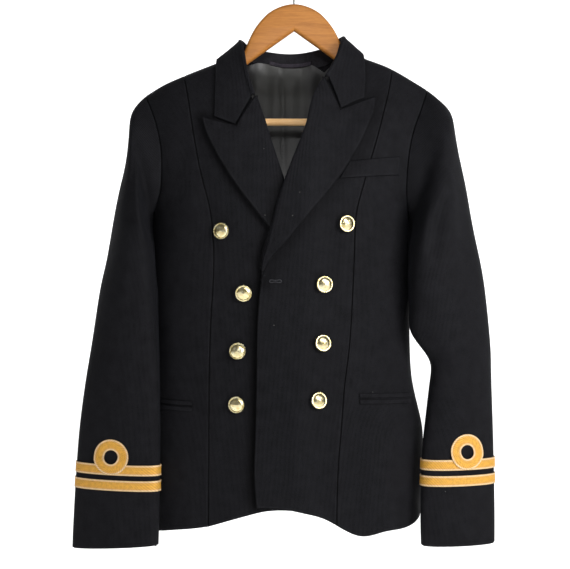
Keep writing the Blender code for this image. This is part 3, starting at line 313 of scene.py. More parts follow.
def wool(name, deep, pale):
    material, tree, shader = finish(name, {"Roughness": 0.75, "Specular IOR Level": 0.07,
                                           "Sheen Weight": 0.02, "Sheen Roughness": 0.4,
                                           "Sheen Tint": tint("#b9bfd2")})
    flat = add(tree, "ShaderNodeUVMap", uv_map="cut").outputs["UV"]
    place = add(tree, "ShaderNodeTexCoord").outputs["Object"]
    ribs = add(tree, "ShaderNodeTexWave", {"Vector": flat, "Scale": sine_period(RIB), "Distortion": 1.6,
               "Detail": 2.0, "Detail Scale": 5.0}, wave_type="BANDS", bands_direction="X")
    yarn = add(tree, "ShaderNodeTexNoise", {"Vector": flat, "Scale": 1 / (1.3 * MM), "Detail": 3.0,
               "Roughness": 0.7})
    nap = add(tree, "ShaderNodeTexNoise", {"Vector": place, "Scale": 1 / (BLOOM * MM), "Detail": 4.0,
              "Roughness": 0.6})
    rim = add(tree, "ShaderNodeAttribute", attribute_name="to_rim")
    fade = add(tree, "ShaderNodeMapRange", {"Value": rim.outputs["Fac"], "From Min": 1.0, "From Max": 3.6,
               "To Min": 0.0, "To Max": 0.5})
    swing = add(tree, "ShaderNodeMath", {0: ribs.outputs["Fac"], 1: 0.5}, operation="SUBTRACT")
    wear_and_painted_shade = add(tree, "ShaderNodeMath", {0: swing.outputs[0], 1: fade.outputs["Result"], 2: 0.25},
               operation="MULTIPLY_ADD")
    mixed = add(tree, "ShaderNodeMath", {0: yarn.outputs["Fac"], 1: 0.9, 2: wear_and_painted_shade.outputs[0]},
                operation="MULTIPLY_ADD")
    clouded = add(tree, "ShaderNodeMath", {0: nap.outputs["Fac"], 1: 0.5, 2: mixed.outputs[0]},
                  operation="MULTIPLY_ADD")
    ramp = add(tree, "ShaderNodeValToRGB", {"Fac": clouded.outputs[0]})
    set_stops(ramp, (0.74, deep), (1.0, pale))
    seam = add(tree, "ShaderNodeAttribute", attribute_name="to_seam")
    ditch = add(tree, "ShaderNodeMapRange", {"Value": seam.outputs["Fac"], "From Min": 0.35, "From Max": 1.3,
                "To Min": 0.18, "To Max": 1.0})
    sewn = add(tree, "ShaderNodeMix", {"Factor": 1.0, "A": ramp.outputs["Color"],
               "B": ditch.outputs["Result"]}, data_type="RGBA", blend_type="MULTIPLY")
    specks = add(tree, "ShaderNodeTexVoronoi", {"Vector": place, "Scale": 1 / LINT_SPACING})
    lint = add(tree, "ShaderNodeMath", {0: specks.outputs["Distance"], 1: LINT_SIZE},
               operation="LESS_THAN")
    dusty = add(tree, "ShaderNodeMix", {"Factor": lint.outputs[0], "A": sewn.outputs["Result"],
                "B": tint("#8c8a86")}, data_type="RGBA")
    # The attribute read next holds painted shade beside what covers the cloth, and painted light on the
    # collar's stand.
    under = add(tree, "ShaderNodeAttribute", attribute_name="fresh")
    # The cloth is darkened right at every rim: at a seam this is the dark joint, and at a free edge, such as
    # a lapel's, it is painted shade.
    joint_and_painted_edge_shade = add(tree, "ShaderNodeMapRange", {"Value": rim.outputs["Fac"], "From Min": 0.2, "From Max": 1.3,
                 "To Min": 0.35, "To Max": 1.0})
    joints_and_painted_shading = add(tree, "ShaderNodeMath", {0: 1.0, 1: under.outputs["Fac"]}, operation="SUBTRACT")
    joints_and_painted_shading = add(tree, "ShaderNodeMath", {0: joints_and_painted_shading.outputs[0], 1: joint_and_painted_edge_shade.outputs["Result"]},
                operation="MULTIPLY")
    shown = add(tree, "ShaderNodeMix", {"Factor": 1.0, "A": dusty.outputs["Result"],
                "B": joints_and_painted_shading.outputs[0]}, data_type="RGBA", blend_type="MULTIPLY")
    raised = add(tree, "ShaderNodeBump", {"Height": mixed.outputs[0], "Strength": 0.8, "Distance": 0.3 * MM})
    plug(tree, shader, {"Base Color": shown.outputs["Result"], "Normal": raised.outputs["Normal"]})
    return material


NAVY = wool("navy_barathea", "#040405", "#1c1c1f")
TAPE = wool("navy_loop_tape", "#121015", "#3c383f")
print("cloth:", NAVY.name)

# %% [markdown]
# ### Lining
# The back, the side fronts and the sleeves are lined with a dark satin. Its long floats make a soft shine
# across the folds.

# %% Lining satin


def satin(name, deep, pale):
    material, tree, shader = finish(name, {"Roughness": 0.42, "Sheen Weight": 0.2})
    flat = add(tree, "ShaderNodeUVMap", uv_map="cut").outputs["UV"]
    threads = add(tree, "ShaderNodeTexWave", {"Vector": flat, "Scale": sine_period(1.2 * MM),
                  "Distortion": 2.0, "Detail": 2.0}, wave_type="BANDS", bands_direction="Y")
    cloud = add(tree, "ShaderNodeTexNoise", {"Vector": flat, "Scale": 1 / (22 * MM), "Detail": 3.0})
    both = add(tree, "ShaderNodeMath", {0: threads.outputs["Fac"], 1: 0.25, 2: cloud.outputs["Fac"]},
               operation="MULTIPLY_ADD")
    ramp = add(tree, "ShaderNodeValToRGB", {"Fac": both.outputs[0]})
    set_stops(ramp, (0.3, deep), (0.85, pale))
    # The shade attribute holds painted shade: where it is set, the satin is mixed towards near black.
    shade = add(tree, "ShaderNodeAttribute", attribute_name="shade")
    shown = add(tree, "ShaderNodeMix", {"Factor": shade.outputs["Fac"], "A": ramp.outputs["Color"],
                "B": tint("#0c0b0d")}, data_type="RGBA")
    raised = add(tree, "ShaderNodeBump", {"Height": both.outputs[0], "Strength": 0.15, "Distance": 0.2 * MM})
    plug(tree, shader, {"Base Color": shown.outputs["Result"], "Normal": raised.outputs["Normal"]})
    return material


LINING = satin("lining_satin", "#161614", "#232320")

# %% [markdown]
# ### Gold lace
# Rank lace is a flat braid of gilt thread woven over cotton: pale cords along each edge and warmer ribs
# between. Metal thread is bright from some sides and dull from others, so it is partly metallic.
# The piece's second layout holds how far across the braid a point lies, from 0 to 1.

# %% Gold lace
BRAID_PLAIT = 2.6 * MM
PLAIT_SLANT = 0.010  # metres that the plait runs on from one edge to the other


def braid(name):
    material, tree, shader = finish(name, {"Metallic": 0.25, "Roughness": 0.6})
    lay = add(tree, "ShaderNodeUVMap", uv_map="cut").outputs["UV"]
    parts = add(tree, "ShaderNodeSeparateXYZ", {"Vector": lay})
    across = add(tree, "ShaderNodeUVMap", uv_map="across").outputs["UV"]
    share = add(tree, "ShaderNodeSeparateXYZ", {"Vector": across}).outputs["X"]
    ramp = add(tree, "ShaderNodeValToRGB", {"Fac": share})
    set_stops(ramp, (0.0, "#c9a06c"), (0.08, "#ecd0a8"), (0.2, "#dca448"), (0.5, "#e2a93c"), (0.8, "#dca448"),
              (0.92, "#ecd0a8"), (1.0, "#c9a06c"))
    slant = add(tree, "ShaderNodeMath", {0: share, 1: PLAIT_SLANT, 2: parts.outputs["X"]},
                operation="MULTIPLY_ADD")
    joined = add(tree, "ShaderNodeCombineXYZ", {"X": slant.outputs[0]})
    plait = add(tree, "ShaderNodeTexWave", {"Vector": joined.outputs[0], "Scale": sine_period(BRAID_PLAIT),
                "Distortion": 0.6, "Detail": 1.0}, wave_type="BANDS", bands_direction="X")
    dull = add(tree, "ShaderNodeTexNoise", {"Vector": lay, "Scale": 1 / (4 * MM), "Detail": 3.0})
    dark = add(tree, "ShaderNodeMath", {0: plait.outputs["Fac"], 1: 0.5, 2: dull.outputs["Fac"]},
               operation="MULTIPLY_ADD")
    shade = add(tree, "ShaderNodeMapRange", {"Value": dark.outputs[0], "From Min": 0.3, "From Max": 1.1,
                "To Min": 0.62, "To Max": 1.08})
    shown = add(tree, "ShaderNodeMix", {"Factor": 1.0, "A": ramp.outputs["Color"],
                "B": shade.outputs["Result"]}, data_type="RGBA", blend_type="MULTIPLY")
    raised = add(tree, "ShaderNodeBump", {"Height": plait.outputs["Fac"], "Strength": 0.4,
                 "Distance": 0.3 * MM})
    plug(tree, shader, {"Base Color": shown.outputs["Result"], "Normal": raised.outputs["Normal"]})
    return material


GOLD = braid("gilt_wire_lace")

# %% [markdown]
# ### Gilt brass, beech and wire
# The buttons are stamped brass with a thin wash of gold, pale and bright on the dome. The hanger is clear
# varnished beech, and its hook is plated steel wire.

# %% Gilt brass, beech and wire


def gilt(name):
    material, tree, shader = finish(name, {"Metallic": 1.0})
    place = add(tree, "ShaderNodeTexCoord").outputs["Object"]
    tarnish = add(tree, "ShaderNodeTexNoise", {"Vector": place, "Scale": 1 / (5 * MM), "Detail": 4.0})
    ramp = add(tree, "ShaderNodeValToRGB", {"Fac": tarnish.outputs["Fac"]})
    set_stops(ramp, (0.35, "#d6c488"), (0.65, "#f6edc6"))
    rub = add(tree, "ShaderNodeMapRange", {"Value": tarnish.outputs["Fac"], "To Min": 0.16, "To Max": 0.34})
    plug(tree, shader, {"Base Color": ramp.outputs["Color"], "Roughness": rub.outputs["Result"]})
    return material


def beech(name, deep, pale):
    material, tree, shader = finish(name, {"Roughness": 0.42, "Specular IOR Level": 0.2})
    place = add(tree, "ShaderNodeTexCoord").outputs["Object"]
    along = add(tree, "ShaderNodeMapping", {"Vector": place, "Scale": (6.0, 90.0, 90.0)})
    grain = add(tree, "ShaderNodeTexNoise", {"Vector": along.outputs["Vector"], "Scale": 3.0, "Detail": 6.0,
                "Roughness": 0.65, "Distortion": 0.4})
    flecks = add(tree, "ShaderNodeMapping", {"Vector": place, "Scale": (60.0, 700.0, 700.0)})
    pores = add(tree, "ShaderNodeTexNoise", {"Vector": flecks.outputs["Vector"], "Scale": 2.0, "Detail": 3.0})
    both = add(tree, "ShaderNodeMath", {0: pores.outputs["Fac"], 1: 0.35, 2: grain.outputs["Fac"]},
               operation="MULTIPLY_ADD")
    ramp = add(tree, "ShaderNodeValToRGB", {"Fac": both.outputs[0]})
    set_stops(ramp, (0.45, deep), (0.9, pale))
    raised = add(tree, "ShaderNodeBump", {"Height": both.outputs[0], "Strength": 0.12, "Distance": 0.3 * MM})
    plug(tree, shader, {"Base Color": ramp.outputs["Color"], "Normal": raised.outputs["Normal"]})
    return material


def wire(name):
    material, tree, shader = finish(name, {"Metallic": 1.0, "Roughness": 0.26})
    place = add(tree, "ShaderNodeTexCoord").outputs["Object"]
    marks = add(tree, "ShaderNodeTexNoise", {"Vector": place, "Scale": 1 / (3 * MM), "Detail": 3.0})
    ramp = add(tree, "ShaderNodeValToRGB", {"Fac": marks.outputs["Fac"]})
    set_stops(ramp, (0.0, "#a9a9a6"), (1.0, "#d3d3d0"))
    plug(tree, shader, {"Base Color": ramp.outputs["Color"]})
    return material


GILT = gilt("gilt_brass")
BEECH = beech("varnished_beech", "#8f5a26", "#b47838")
PALE_BEECH = beech("pale_beech", "#f0b878", "#ffd9a4")
WIRE = wire("plated_wire")
print("finishes:", [m.name for m in (NAVY, LINING, GOLD, GILT, BEECH, PALE_BEECH, WIRE)])

# %% [markdown]
# ## From a solid wall to a piece of cloth
# Each panel of the tunic is a thin wall of flat triangles. Its outer face is peeled off by splitting the
# wall along its sharp edges. The triangles came from a grid, so their diagonals are dissolved again, and
# the grid is subdivided. Subdividing pulls a surface in from its corners, so the corners are first pushed
# out by what they lose: the smooth cloth then passes through every corner of the solid.

# %% Peeling the outer face
JOIN = 0.002 * MM  # corners closer than this are one


def area_of(obj):
    return sum(face.area for face in obj.data.polygons)


def peel(node, sharp=50.0, facing=None):
    """The outer face of a wall: the larger one, or the one that looks most in the direction facing."""
    copy = bring_in(node + "_cloth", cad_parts[node].data.copy())
    edit(copy)
    bpy.ops.mesh.remove_doubles(threshold=JOIN)
    bpy.ops.mesh.select_mode(type="EDGE")
    bpy.ops.mesh.select_all(action="DESELECT")
    bpy.ops.mesh.edges_select_sharp(sharpness=math.radians(sharp))
    bpy.ops.mesh.edge_split(type="EDGE")
    bpy.ops.mesh.select_all(action="SELECT")
    bpy.ops.mesh.separate(type="LOOSE")
    close()
    halves = sorted(bpy.context.selected_objects, key=area_of)

    def looks(obj):
        return sum((face.normal * face.area).dot(facing) for face in obj.data.polygons)

    outer = max(halves[-2:], key=looks if facing else area_of)
    for part in halves:
        if part != outer:
            bpy.data.objects.remove(part)
    outer.name = outer.data.name = node + "_cloth"
    outer.data.materials.clear()
    edit(outer)
    bpy.ops.mesh.remove_doubles(threshold=JOIN)
    close()
    return outer


def find_grid(obj):
    """Dissolves the diagonals of a grid of triangles.

    Where six edges meet, opposite ones run in one line. Every triangle has an edge of each of three
    families of lines, and the diagonals are the family that never runs along the border."""
    shape = bmesh.new()
    shape.from_mesh(obj.data)
    shape.edges.ensure_lookup_table()
    line = list(range(len(shape.edges)))

    def top(i):
        while line[i] != i:
            line[i] = line[line[i]]
            i = line[i]
        return i

    for corner in shape.verts:
        if corner.is_boundary or len(corner.link_edges) != 6:
            continue
        ring, edge = [], corner.link_edges[0]
        loop = edge.link_loops[0] if edge.link_loops[0].vert == corner else edge.link_loops[1]
        for _ in range(6):
            ring.append(loop.edge)
            loop = loop.link_loop_prev.link_loop_radial_next
        for k in range(3):
            line[top(ring[k].index)] = top(ring[k + 3].index)
    family = {}
    first = max(shape.faces, key=lambda f: f.calc_area())
    for number, edge in enumerate(first.edges):
        family[top(edge.index)] = number
    changed = True
    while changed:
        changed = False
        for face in shape.faces:
            tops = [top(edge.index) for edge in face.edges]
            known = [family.get(t) for t in tops]
            if known.count(None) == 1 and len(set(known)) == 3:
                family[tops[known.index(None)]] = 3 - sum(k for k in known if k is not None)
                changed = True
    border = {family.get(top(edge.index)) for edge in shape.edges if edge.is_boundary}
    diagonals = [n for n in range(3) if n not in border]
    if len(diagonals) == 1:
        crossing = [e for e in shape.edges if family.get(top(e.index)) == diagonals[0]]
        bmesh.ops.dissolve_edges(shape, edges=crossing, use_verts=False)
    shape.to_mesh(obj.data)
    shape.free()
    edit(obj)
    bpy.ops.mesh.tris_convert_to_quads(face_threshold=math.pi, shape_threshold=math.pi)
    close()
    triangles = sum(len(face.vertices) == 3 for face in obj.data.polygons)
    return len(obj.data.polygons) - triangles, triangles


# %% Smoothing through the corners
CORNER_TURN = 38.0  # degrees that a border turns at a point that stays a corner
CORRECTIONS = 6  # times that the corners are pushed out by what they still miss


def keep_corners(obj):
    """Creases the border's corner points, so that subdividing keeps them sharp."""
    shape = bmesh.new()
    shape.from_mesh(obj.data)
    crease = shape.verts.layers.float.get("crease_vert") or shape.verts.layers.float.new("crease_vert")
    for point in shape.verts:
        rim = [edge.other_vert(point).co - point.co for edge in point.link_edges if edge.is_boundary]
        if len(rim) == 2 and math.degrees(rim[0].angle(-rim[1])) > CORNER_TURN:
            point[crease] = 1.0
    shape.to_mesh(obj.data)
    shape.free()


def smooth_through(obj, levels):
    """Subdivides a piece so that it still passes through its corners. Returns the largest miss."""
    if obj.data.uv_layers:
        obj.data.uv_layers.active_index = 0
    subdivide = obj.modifiers.new("smooth", "SUBSURF")
    subdivide.levels = subdivide.render_levels = levels
    subdivide.boundary_smooth = "PRESERVE_CORNERS"
    keep_corners(obj)
    goal = coordinates(obj.data)
    for _ in range(CORRECTIONS):
        ready = obj.evaluated_get(bpy.context.evaluated_depsgraph_get())
        missed = goal - coordinates(ready.data)[: len(goal)]
        move_points(obj.data, coordinates(obj.data) + missed)
    apply_all(obj)
    return float(np.abs(goal - coordinates(obj.data)[: len(goal)]).max())


# %% [markdown]
# Cloth is woven flat, so its pattern needs a flat layout of the piece, as a tailor's paper pattern is.
# Unwrapping gives one. It is then scaled to real metres and turned until the ribs run down the piece.

# %% Laying the grain


def lay_flat(obj):
    """Gives a piece a layout in metres whose second axis runs up it. Returns its width and length."""
    edit(obj)
    bpy.ops.uv.unwrap(method="ANGLE_BASED", margin=0.0)
    close()
    mesh = obj.data
    layer = mesh.uv_layers.active
    layer.name = "cut"
    laid = np.empty(len(mesh.loops) * 2, np.float32)
    layer.data.foreach_get("uv", laid)
    laid = laid.reshape(-1, 2).astype(float)
    corner = np.empty(len(mesh.loops), np.int32)
    mesh.loops.foreach_get("vertex_index", corner)
    place = coordinates(mesh)[corner]
    flat_area = 0.0
    for face in mesh.polygons:
        ring = laid[list(face.loop_indices)]
        after = np.roll(ring, -1, axis=0)
        flat_area += abs(float((ring[:, 0] * after[:, 1] - ring[:, 1] * after[:, 0]).sum())) / 2
    laid *= math.sqrt(area_of(obj) / flat_area)
    slope = np.linalg.lstsq(np.c_[laid, np.ones(len(laid))], place[:, 2], rcond=None)[0][:2]
    up = slope / np.linalg.norm(slope)
    laid = laid @ np.array([[up[1], up[0]], [-up[0], up[1]]])
    laid -= laid.min(axis=0)
    layer.data.foreach_set("uv", laid.astype(np.float32).ravel())
    return float(laid[:, 0].max()), float(laid[:, 1].max())


# %% [markdown]
# ## Edges and thickness
# Where two panels are sewn, both turn in to the seam, and a pressed edge is round. So the cloth near a
# border sinks a little, most at the rim, and the rim is let out by a hair so that sewn panels meet. Then
# the face gets the cloth's thickness inwards.

# %% Turning the edges and giving thickness
WOOL_THICK = 1.7 * MM
EDGE_WIDTH = 2.6 * MM
EDGE_TURN = 1.25 * MM
LET_OUT = 0.13 * MM
FINER_WITHIN = (7.0 * MM, 3.2 * MM)  # faces this near the border are cut finer, once for each
NO_SEAM = 99.0
LAPEL_WIDTH, LAPEL_TURN, LAPEL_OUT = 1.8 * MM, 0.8 * MM, 0.9 * MM  # a lapel folds round the front's edge


def border_of(mesh):
    """The border points of a mesh, with the direction that leads off the cloth at each."""
    shape = bmesh.new()
    shape.from_mesh(mesh)
    shape.normal_update()
    outward = {}
    for edge in shape.edges:
        if edge.is_boundary:
            a, b = edge.verts
            along = (b.co - a.co).normalized()
            off = (a.co + b.co) / 2 - edge.link_faces[0].calc_center_median()
            off = (off - along * off.dot(along)).normalized()
            for point in (a, b):
                outward[point.index] = outward.get(point.index, Vector()) + off
    normals = np.array([point.normal for point in shape.verts])
    shape.free()
    return {index: off.normalized() for index, off in outward.items()}, normals


STITCH = 0.5 * MM


def stitches(mesh):
    """Points all along the border of a mesh, half a millimetre apart."""
    places = coordinates(mesh)
    faces_of = {}
    for face in mesh.polygons:
        for key in face.edge_keys:
            faces_of[key] = faces_of.get(key, 0) + 1
    points = []
    for (a, b), count in faces_of.items():
        if count == 1:
            steps = max(1, int(np.linalg.norm(places[a] - places[b]) / STITCH))
            points += [places[a] + (places[b] - places[a]) * k / steps for k in range(steps + 1)]
    return np.array(points)


def from_border(places, border):
    """How far each place lies from the border."""
    tree = search_tree([places[index] for index in border])
    return np.array([tree.find(place)[2] for place in places])


def refine_border(obj):
    """Cuts the faces beside the border finer, so that its roll comes out round."""
    for reach in FINER_WITHIN:
        unselect(obj, "FACE")
        border, _ = border_of(obj.data)
        far = from_border(coordinates(obj.data), border)
        for face in obj.data.polygons:
            face.select = bool(far[list(face.vertices)].min() < reach)
        bpy.ops.object.mode_set(mode="EDIT")
        bpy.ops.mesh.subdivide(number_cuts=1)
        close()


def turn_edges(obj, width=EDGE_WIDTH, turn=EDGE_TURN, let_out=LET_OUT, seam=None, facing=None):
    """Rolls the cloth beside its border inwards, lets the rim out, and notes how far the seams are.

    seam finds the seam's points, and facing holds the way that the neighbour's cloth faces at each: both
    panels sink the same way there, so that they stay together."""
    border, normals = border_of(obj.data)
    places = coordinates(obj.data)
    off_seam = np.full(len(places), NO_SEAM)
    inward = normals.copy()
    if seam:
        for index, place in enumerate(places):
            _, number, gap = seam.find(place)
            off_seam[index] = gap / MM
            if gap < width:
                inward[index] = (normals[index] + facing[number]) / 2
    off_rim = from_border(places, border)
    near = np.clip(1 - off_rim / width, 0, 1)
    places -= inward * (turn * (1 - np.sqrt(1 - near**2)))[:, None]
    for index, off in border.items():
        places[index] += np.array(off) * let_out
    move_points(obj.data, places)
    for name, distance in (("to_seam", off_seam), ("to_rim", off_rim / MM)):
        note(obj.data, name, distance)


def thicken(obj, thickness, *materials):
    """Gives a face its thickness, all on the inner side, and smooth shading."""
    for material in materials:
        obj.data.materials.append(material)
    wall = obj.modifiers.new("thickness", "SOLIDIFY")
    wall.thickness, wall.offset = thickness, -1.0
    wall.use_even_offset = False
    wall.use_quality_normals = True
    wall.material_offset = len(materials) - 1
    apply_all(obj)
    bpy.ops.object.shade_smooth_by_angle(angle=math.radians(50))


def dress(obj, slot, *nodes):
    """Hides the solids that a finished piece stands for, and hangs the piece from the root."""
    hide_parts(*nodes)
    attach(obj, "root")
    return obj


# %% [markdown]
# ## The wool panels
# Body, sleeves, collar and lapels are all cut from the barathea. They are made one after the other.

# %% Cutting the wool
PANELS = {  # node: how fine, sharpest fold in the cloth, what it hangs from
    "front_right": (3, 62, ["back_right_cloth"]),
    "front_left": (3, 62, ["back_left_cloth"]),
    "side_front_right": (3, 62, ["front_right_cloth"]),
    "side_front_left": (3, 62, ["front_left_cloth"]),
    "back_right": (3, 62, ["hanger"]),
    "back_left": (3, 62, ["hanger"]),
    "top_sleeve_right": (3, 62, ["back_right_cloth"]),
    "top_sleeve_left": (3, 62, ["back_left_cloth"]),
    "under_sleeve_right": (3, 62, ["top_sleeve_right_cloth"]),
    "under_sleeve_left": (3, 62, ["top_sleeve_left_cloth"]),
    "collar": (2, 68, ["back_right_cloth", "back_left_cloth"]),
    "lapel_right": (3, 62, ["front_right_cloth"]),
    "lapel_left": (3, 62, ["front_left_cloth"]),
    "breast_welt": (3, 50, ["side_front_left_cloth"]),
}
cloth, cut = {}, {}


def lay_upright(obj):
    """Lets the ribs run straight down over a piece that turns round the neck."""
    mesh = obj.data
    places = coordinates(mesh)
    for loop in mesh.loops:
        place = places[loop.vertex_index]
        mesh.uv_layers.active.data[loop.index].uv = (place[0] + 1.0, place[2] + 1.0)


for node, (fine, sharp, hangs_from) in PANELS.items():
    piece = peel(node, sharp)
    grid = find_grid(piece)
    cut[node] = (*lay_flat(piece), area_of(piece))
    if node == "collar":
        lay_upright(piece)
    missed = smooth_through(piece, fine)
    cloth[node] = piece
    print(node, "quads, triangles:", grid, "missed mm", round(missed / MM, 2))
    print("  cut, width, length, area:", [round(measure, 3) for measure in cut[node]])

# %% [markdown]
# A lapel has no lower end of its own: at the break it is the same cloth as the front's edge. So its last
# stretch sinks into the front. And a sleeve rests against the body under the arm, so its cloth is brought
# up to the body wherever it hangs within a few millimetres of it.

# %% Sinking the lapels' ends, resting the sleeves
BREAK_START, BREAK_END, BREAK_SINK = 436.0, 462.0, 5.0  # mm down, and how deep the end sinks
END_INWARDS, END_MOVES = 2.6 * MM, 24.0  # how far the end moves in, and over how many mm
NARROW_FROM, NARROWING = 416.0, 0.85  # mm down, and the share of its width that the end loses
LIFT, LIFT_FROM, LIFT_TO = 3.6, 205.0, 424.0  # mm that the outer edge stands off, and where it does
LIFT_RISES, LIFT_FALLS, LIFT_CURVE = 60.0, 30.0, 1.3  # mm over which it starts and ends, and its hollow
TUCK, TUCK_FOLLOW = 4.5 * MM, 14.0 * MM  # the front's own edge is tucked in under the lapel's fold
TUCK_ENDS, TUCK_NEAR = 22.0, 6.0 * MM  # mm over which that ends at the break, and how near the fold it is
FRONT_BELOW, FRONT_WITHIN = -0.19, 0.08  # only the front's edge here can lie under the fold
FOLD_NEAR = 5.0 * MM  # a lapel's rim this near the front's edge is its fold
REST_NEAR, REST_FAR, PRESS = 2.2 * MM, 7.0 * MM, 0.15 * MM
UNDERARM, REST_FULL = -0.366, -0.379  # the sleeve starts to rest below the arm


def smoothstep(value):
    value = np.clip(value, 0, 1)
    return value * value * (3 - 2 * value)


lapel_rims = {}
for side in ("right", "left"):
    mesh = cloth["lapel_" + side].data
    places = coordinates(mesh)
    body = stitches(cloth["front_" + side].data)
    body = body[(body[:, 2] < FRONT_BELOW) & (np.abs(body[:, 0]) < FRONT_WITHIN)]
    body_edge = search_tree(body)
    rim, _ = border_of(mesh)
    folded = [places[index] for index in rim if body_edge.find(places[index])[2] < FOLD_NEAR]
    loose = [places[index] for index in rim if body_edge.find(places[index])[2] >= FOLD_NEAR]
    fold_line, outer_line = search_tree(folded), search_tree(loose)
    lapel_rims[side] = np.array(folded)[:, [0, 2]], np.array(loose)[:, [0, 2]]
    near_fold = np.array([fold_line.find(place)[2] for place in places])
    near_outer = np.array([outer_line.find(place)[2] for place in places])
    down = -places[:, 2] / MM
    window = smoothstep((down - LIFT_FROM) / LIFT_RISES) * (1 - smoothstep((down - LIFT_TO) / LIFT_FALLS))
    places[:, 1] -= LIFT * MM * window * (near_fold / (near_fold + near_outer)) ** LIFT_CURVE
    places[:, 1] += BREAK_SINK * MM * smoothstep((down - BREAK_START) / (BREAK_END - BREAK_START))
    for index, place in enumerate(places):
        narrow = NARROWING * float(smoothstep((down[index] - NARROW_FROM) / (BREAK_END - NARROW_FROM)))
        if narrow:
            places[index, 0] += (fold_line.find(place)[0][0] - place[0]) * narrow
        inwards = END_INWARDS if side == "left" else -END_INWARDS
        places[index, 0] += inwards * float(smoothstep((down[index] - BREAK_START) / END_MOVES))
    move_points(mesh, places)
    under = cloth["front_" + side].data
    places = coordinates(under)
    rim, _ = border_of(under)
    edge_points = [index for index in rim if fold_line.find(places[index])[2] < TUCK_NEAR]
    edge_tree = search_tree([places[index] for index in edge_points])
    for index, place in enumerate(places):
        _, number, gap = edge_tree.find(place)
        if gap < TUCK_FOLLOW:
            down = -place[2] / MM
            share = (1 - smoothstep(gap / TUCK_FOLLOW)) * (1 - smoothstep((down - BREAK_START) / TUCK_ENDS))
            places[index] -= np.array(rim[edge_points[number]]) * TUCK * float(share)
    move_points(under, places)
    print("lapel", side, "fold points", len(folded), "outer points", len(loose))

for side in ("right", "left"):
    trees = [surface_tree(cloth[panel + side].data) for panel in ("side_front_", "back_")]
    for sleeve in ("top_sleeve_", "under_sleeve_"):
        mesh = cloth[sleeve + side].data
        places = coordinates(mesh)
        moved = 0
        for number, place in enumerate(places):
            if place[2] > UNDERARM:
                continue
            near = min((tree.find_nearest(Vector(place)) for tree in trees), key=lambda hit: hit[3])
            away = Vector(place) - near[0]
            gap = away.length if away.dot(near[1]) > 0 else -away.length
            if gap < REST_FAR:
                share = 1 - smoothstep((gap - REST_NEAR) / (REST_FAR - REST_NEAR))
                share *= smoothstep((place[2] - UNDERARM) / (REST_FULL - UNDERARM))
                places[number] = place - np.array(near[1]) * (gap + PRESS) * float(share)
                moved += 1
        move_points(mesh, places)
        print(sleeve + side, "points rested:", moved)

# %% [markdown]
# Every panel was smoothed alone, so two panels can part by a hair where they are sewn. Each border point is
# moved half way to the nearest point of the neighbour's border, and the cloth beside it follows.

# %% Meeting at the seams
SEAM_REACH, SEAM_FOLLOW = 2.4 * MM, 14.0 * MM
SEWN = [node for node in PANELS if node.startswith(("front", "side", "back", "top", "under"))]


def sewable(first, second):
    """Whether two panels can share a seam."""
    return first != second and {first, second} != {"front_left", "front_right"}


def other_borders(node, borders):
    """A search tree of the border points of all the panels that can be sewn to this one."""
    body = node.startswith(("front", "side", "back"))
    found = []
    for other in SEWN:
        if sewable(node, other):
            points = borders[other]
            if other.startswith(("front", "side", "back")) != body:
                points = points[points[:, 2] > UNDERARM]
            found.append(points)
    return search_tree(np.concatenate(found))


borders = {node: stitches(cloth[node].data) for node in SEWN}
pulls = {}
for node in SEWN:
    others = other_borders(node, borders)
    mesh = cloth[node].data
    places = coordinates(mesh)
    border, _ = border_of(mesh)
    numbers = list(border)
    own = search_tree([places[index] for index in numbers])
    pull = np.zeros_like(places)
    for index in numbers:
        near, _, gap = others.find(places[index])
        if gap < SEAM_REACH:
            pull[index] = (np.array(near) - places[index]) / 2
    for index, place in enumerate(places):
        _, found, gap = own.find(place)
        if index not in border and gap < SEAM_FOLLOW:
            pull[index] = pull[numbers[found]] * (1 - smoothstep(gap / SEAM_FOLLOW))
    pulls[node] = places + pull
    print(node, "largest pull", round(float(np.linalg.norm(pull, axis=1).max()) / MM, 2))
for node, places in pulls.items():
    move_points(cloth[node].data, places)

# %% [markdown]
# A tunic that hangs is never quite smooth: the sleeves fold under the shoulder and at the elbow, and the
# body is drawn in soft troughs beside its seams. Each fold is a line with a width and a height, and all the
# cloth under the line moves with it, so that lapels, pockets and buttons stay on the body.

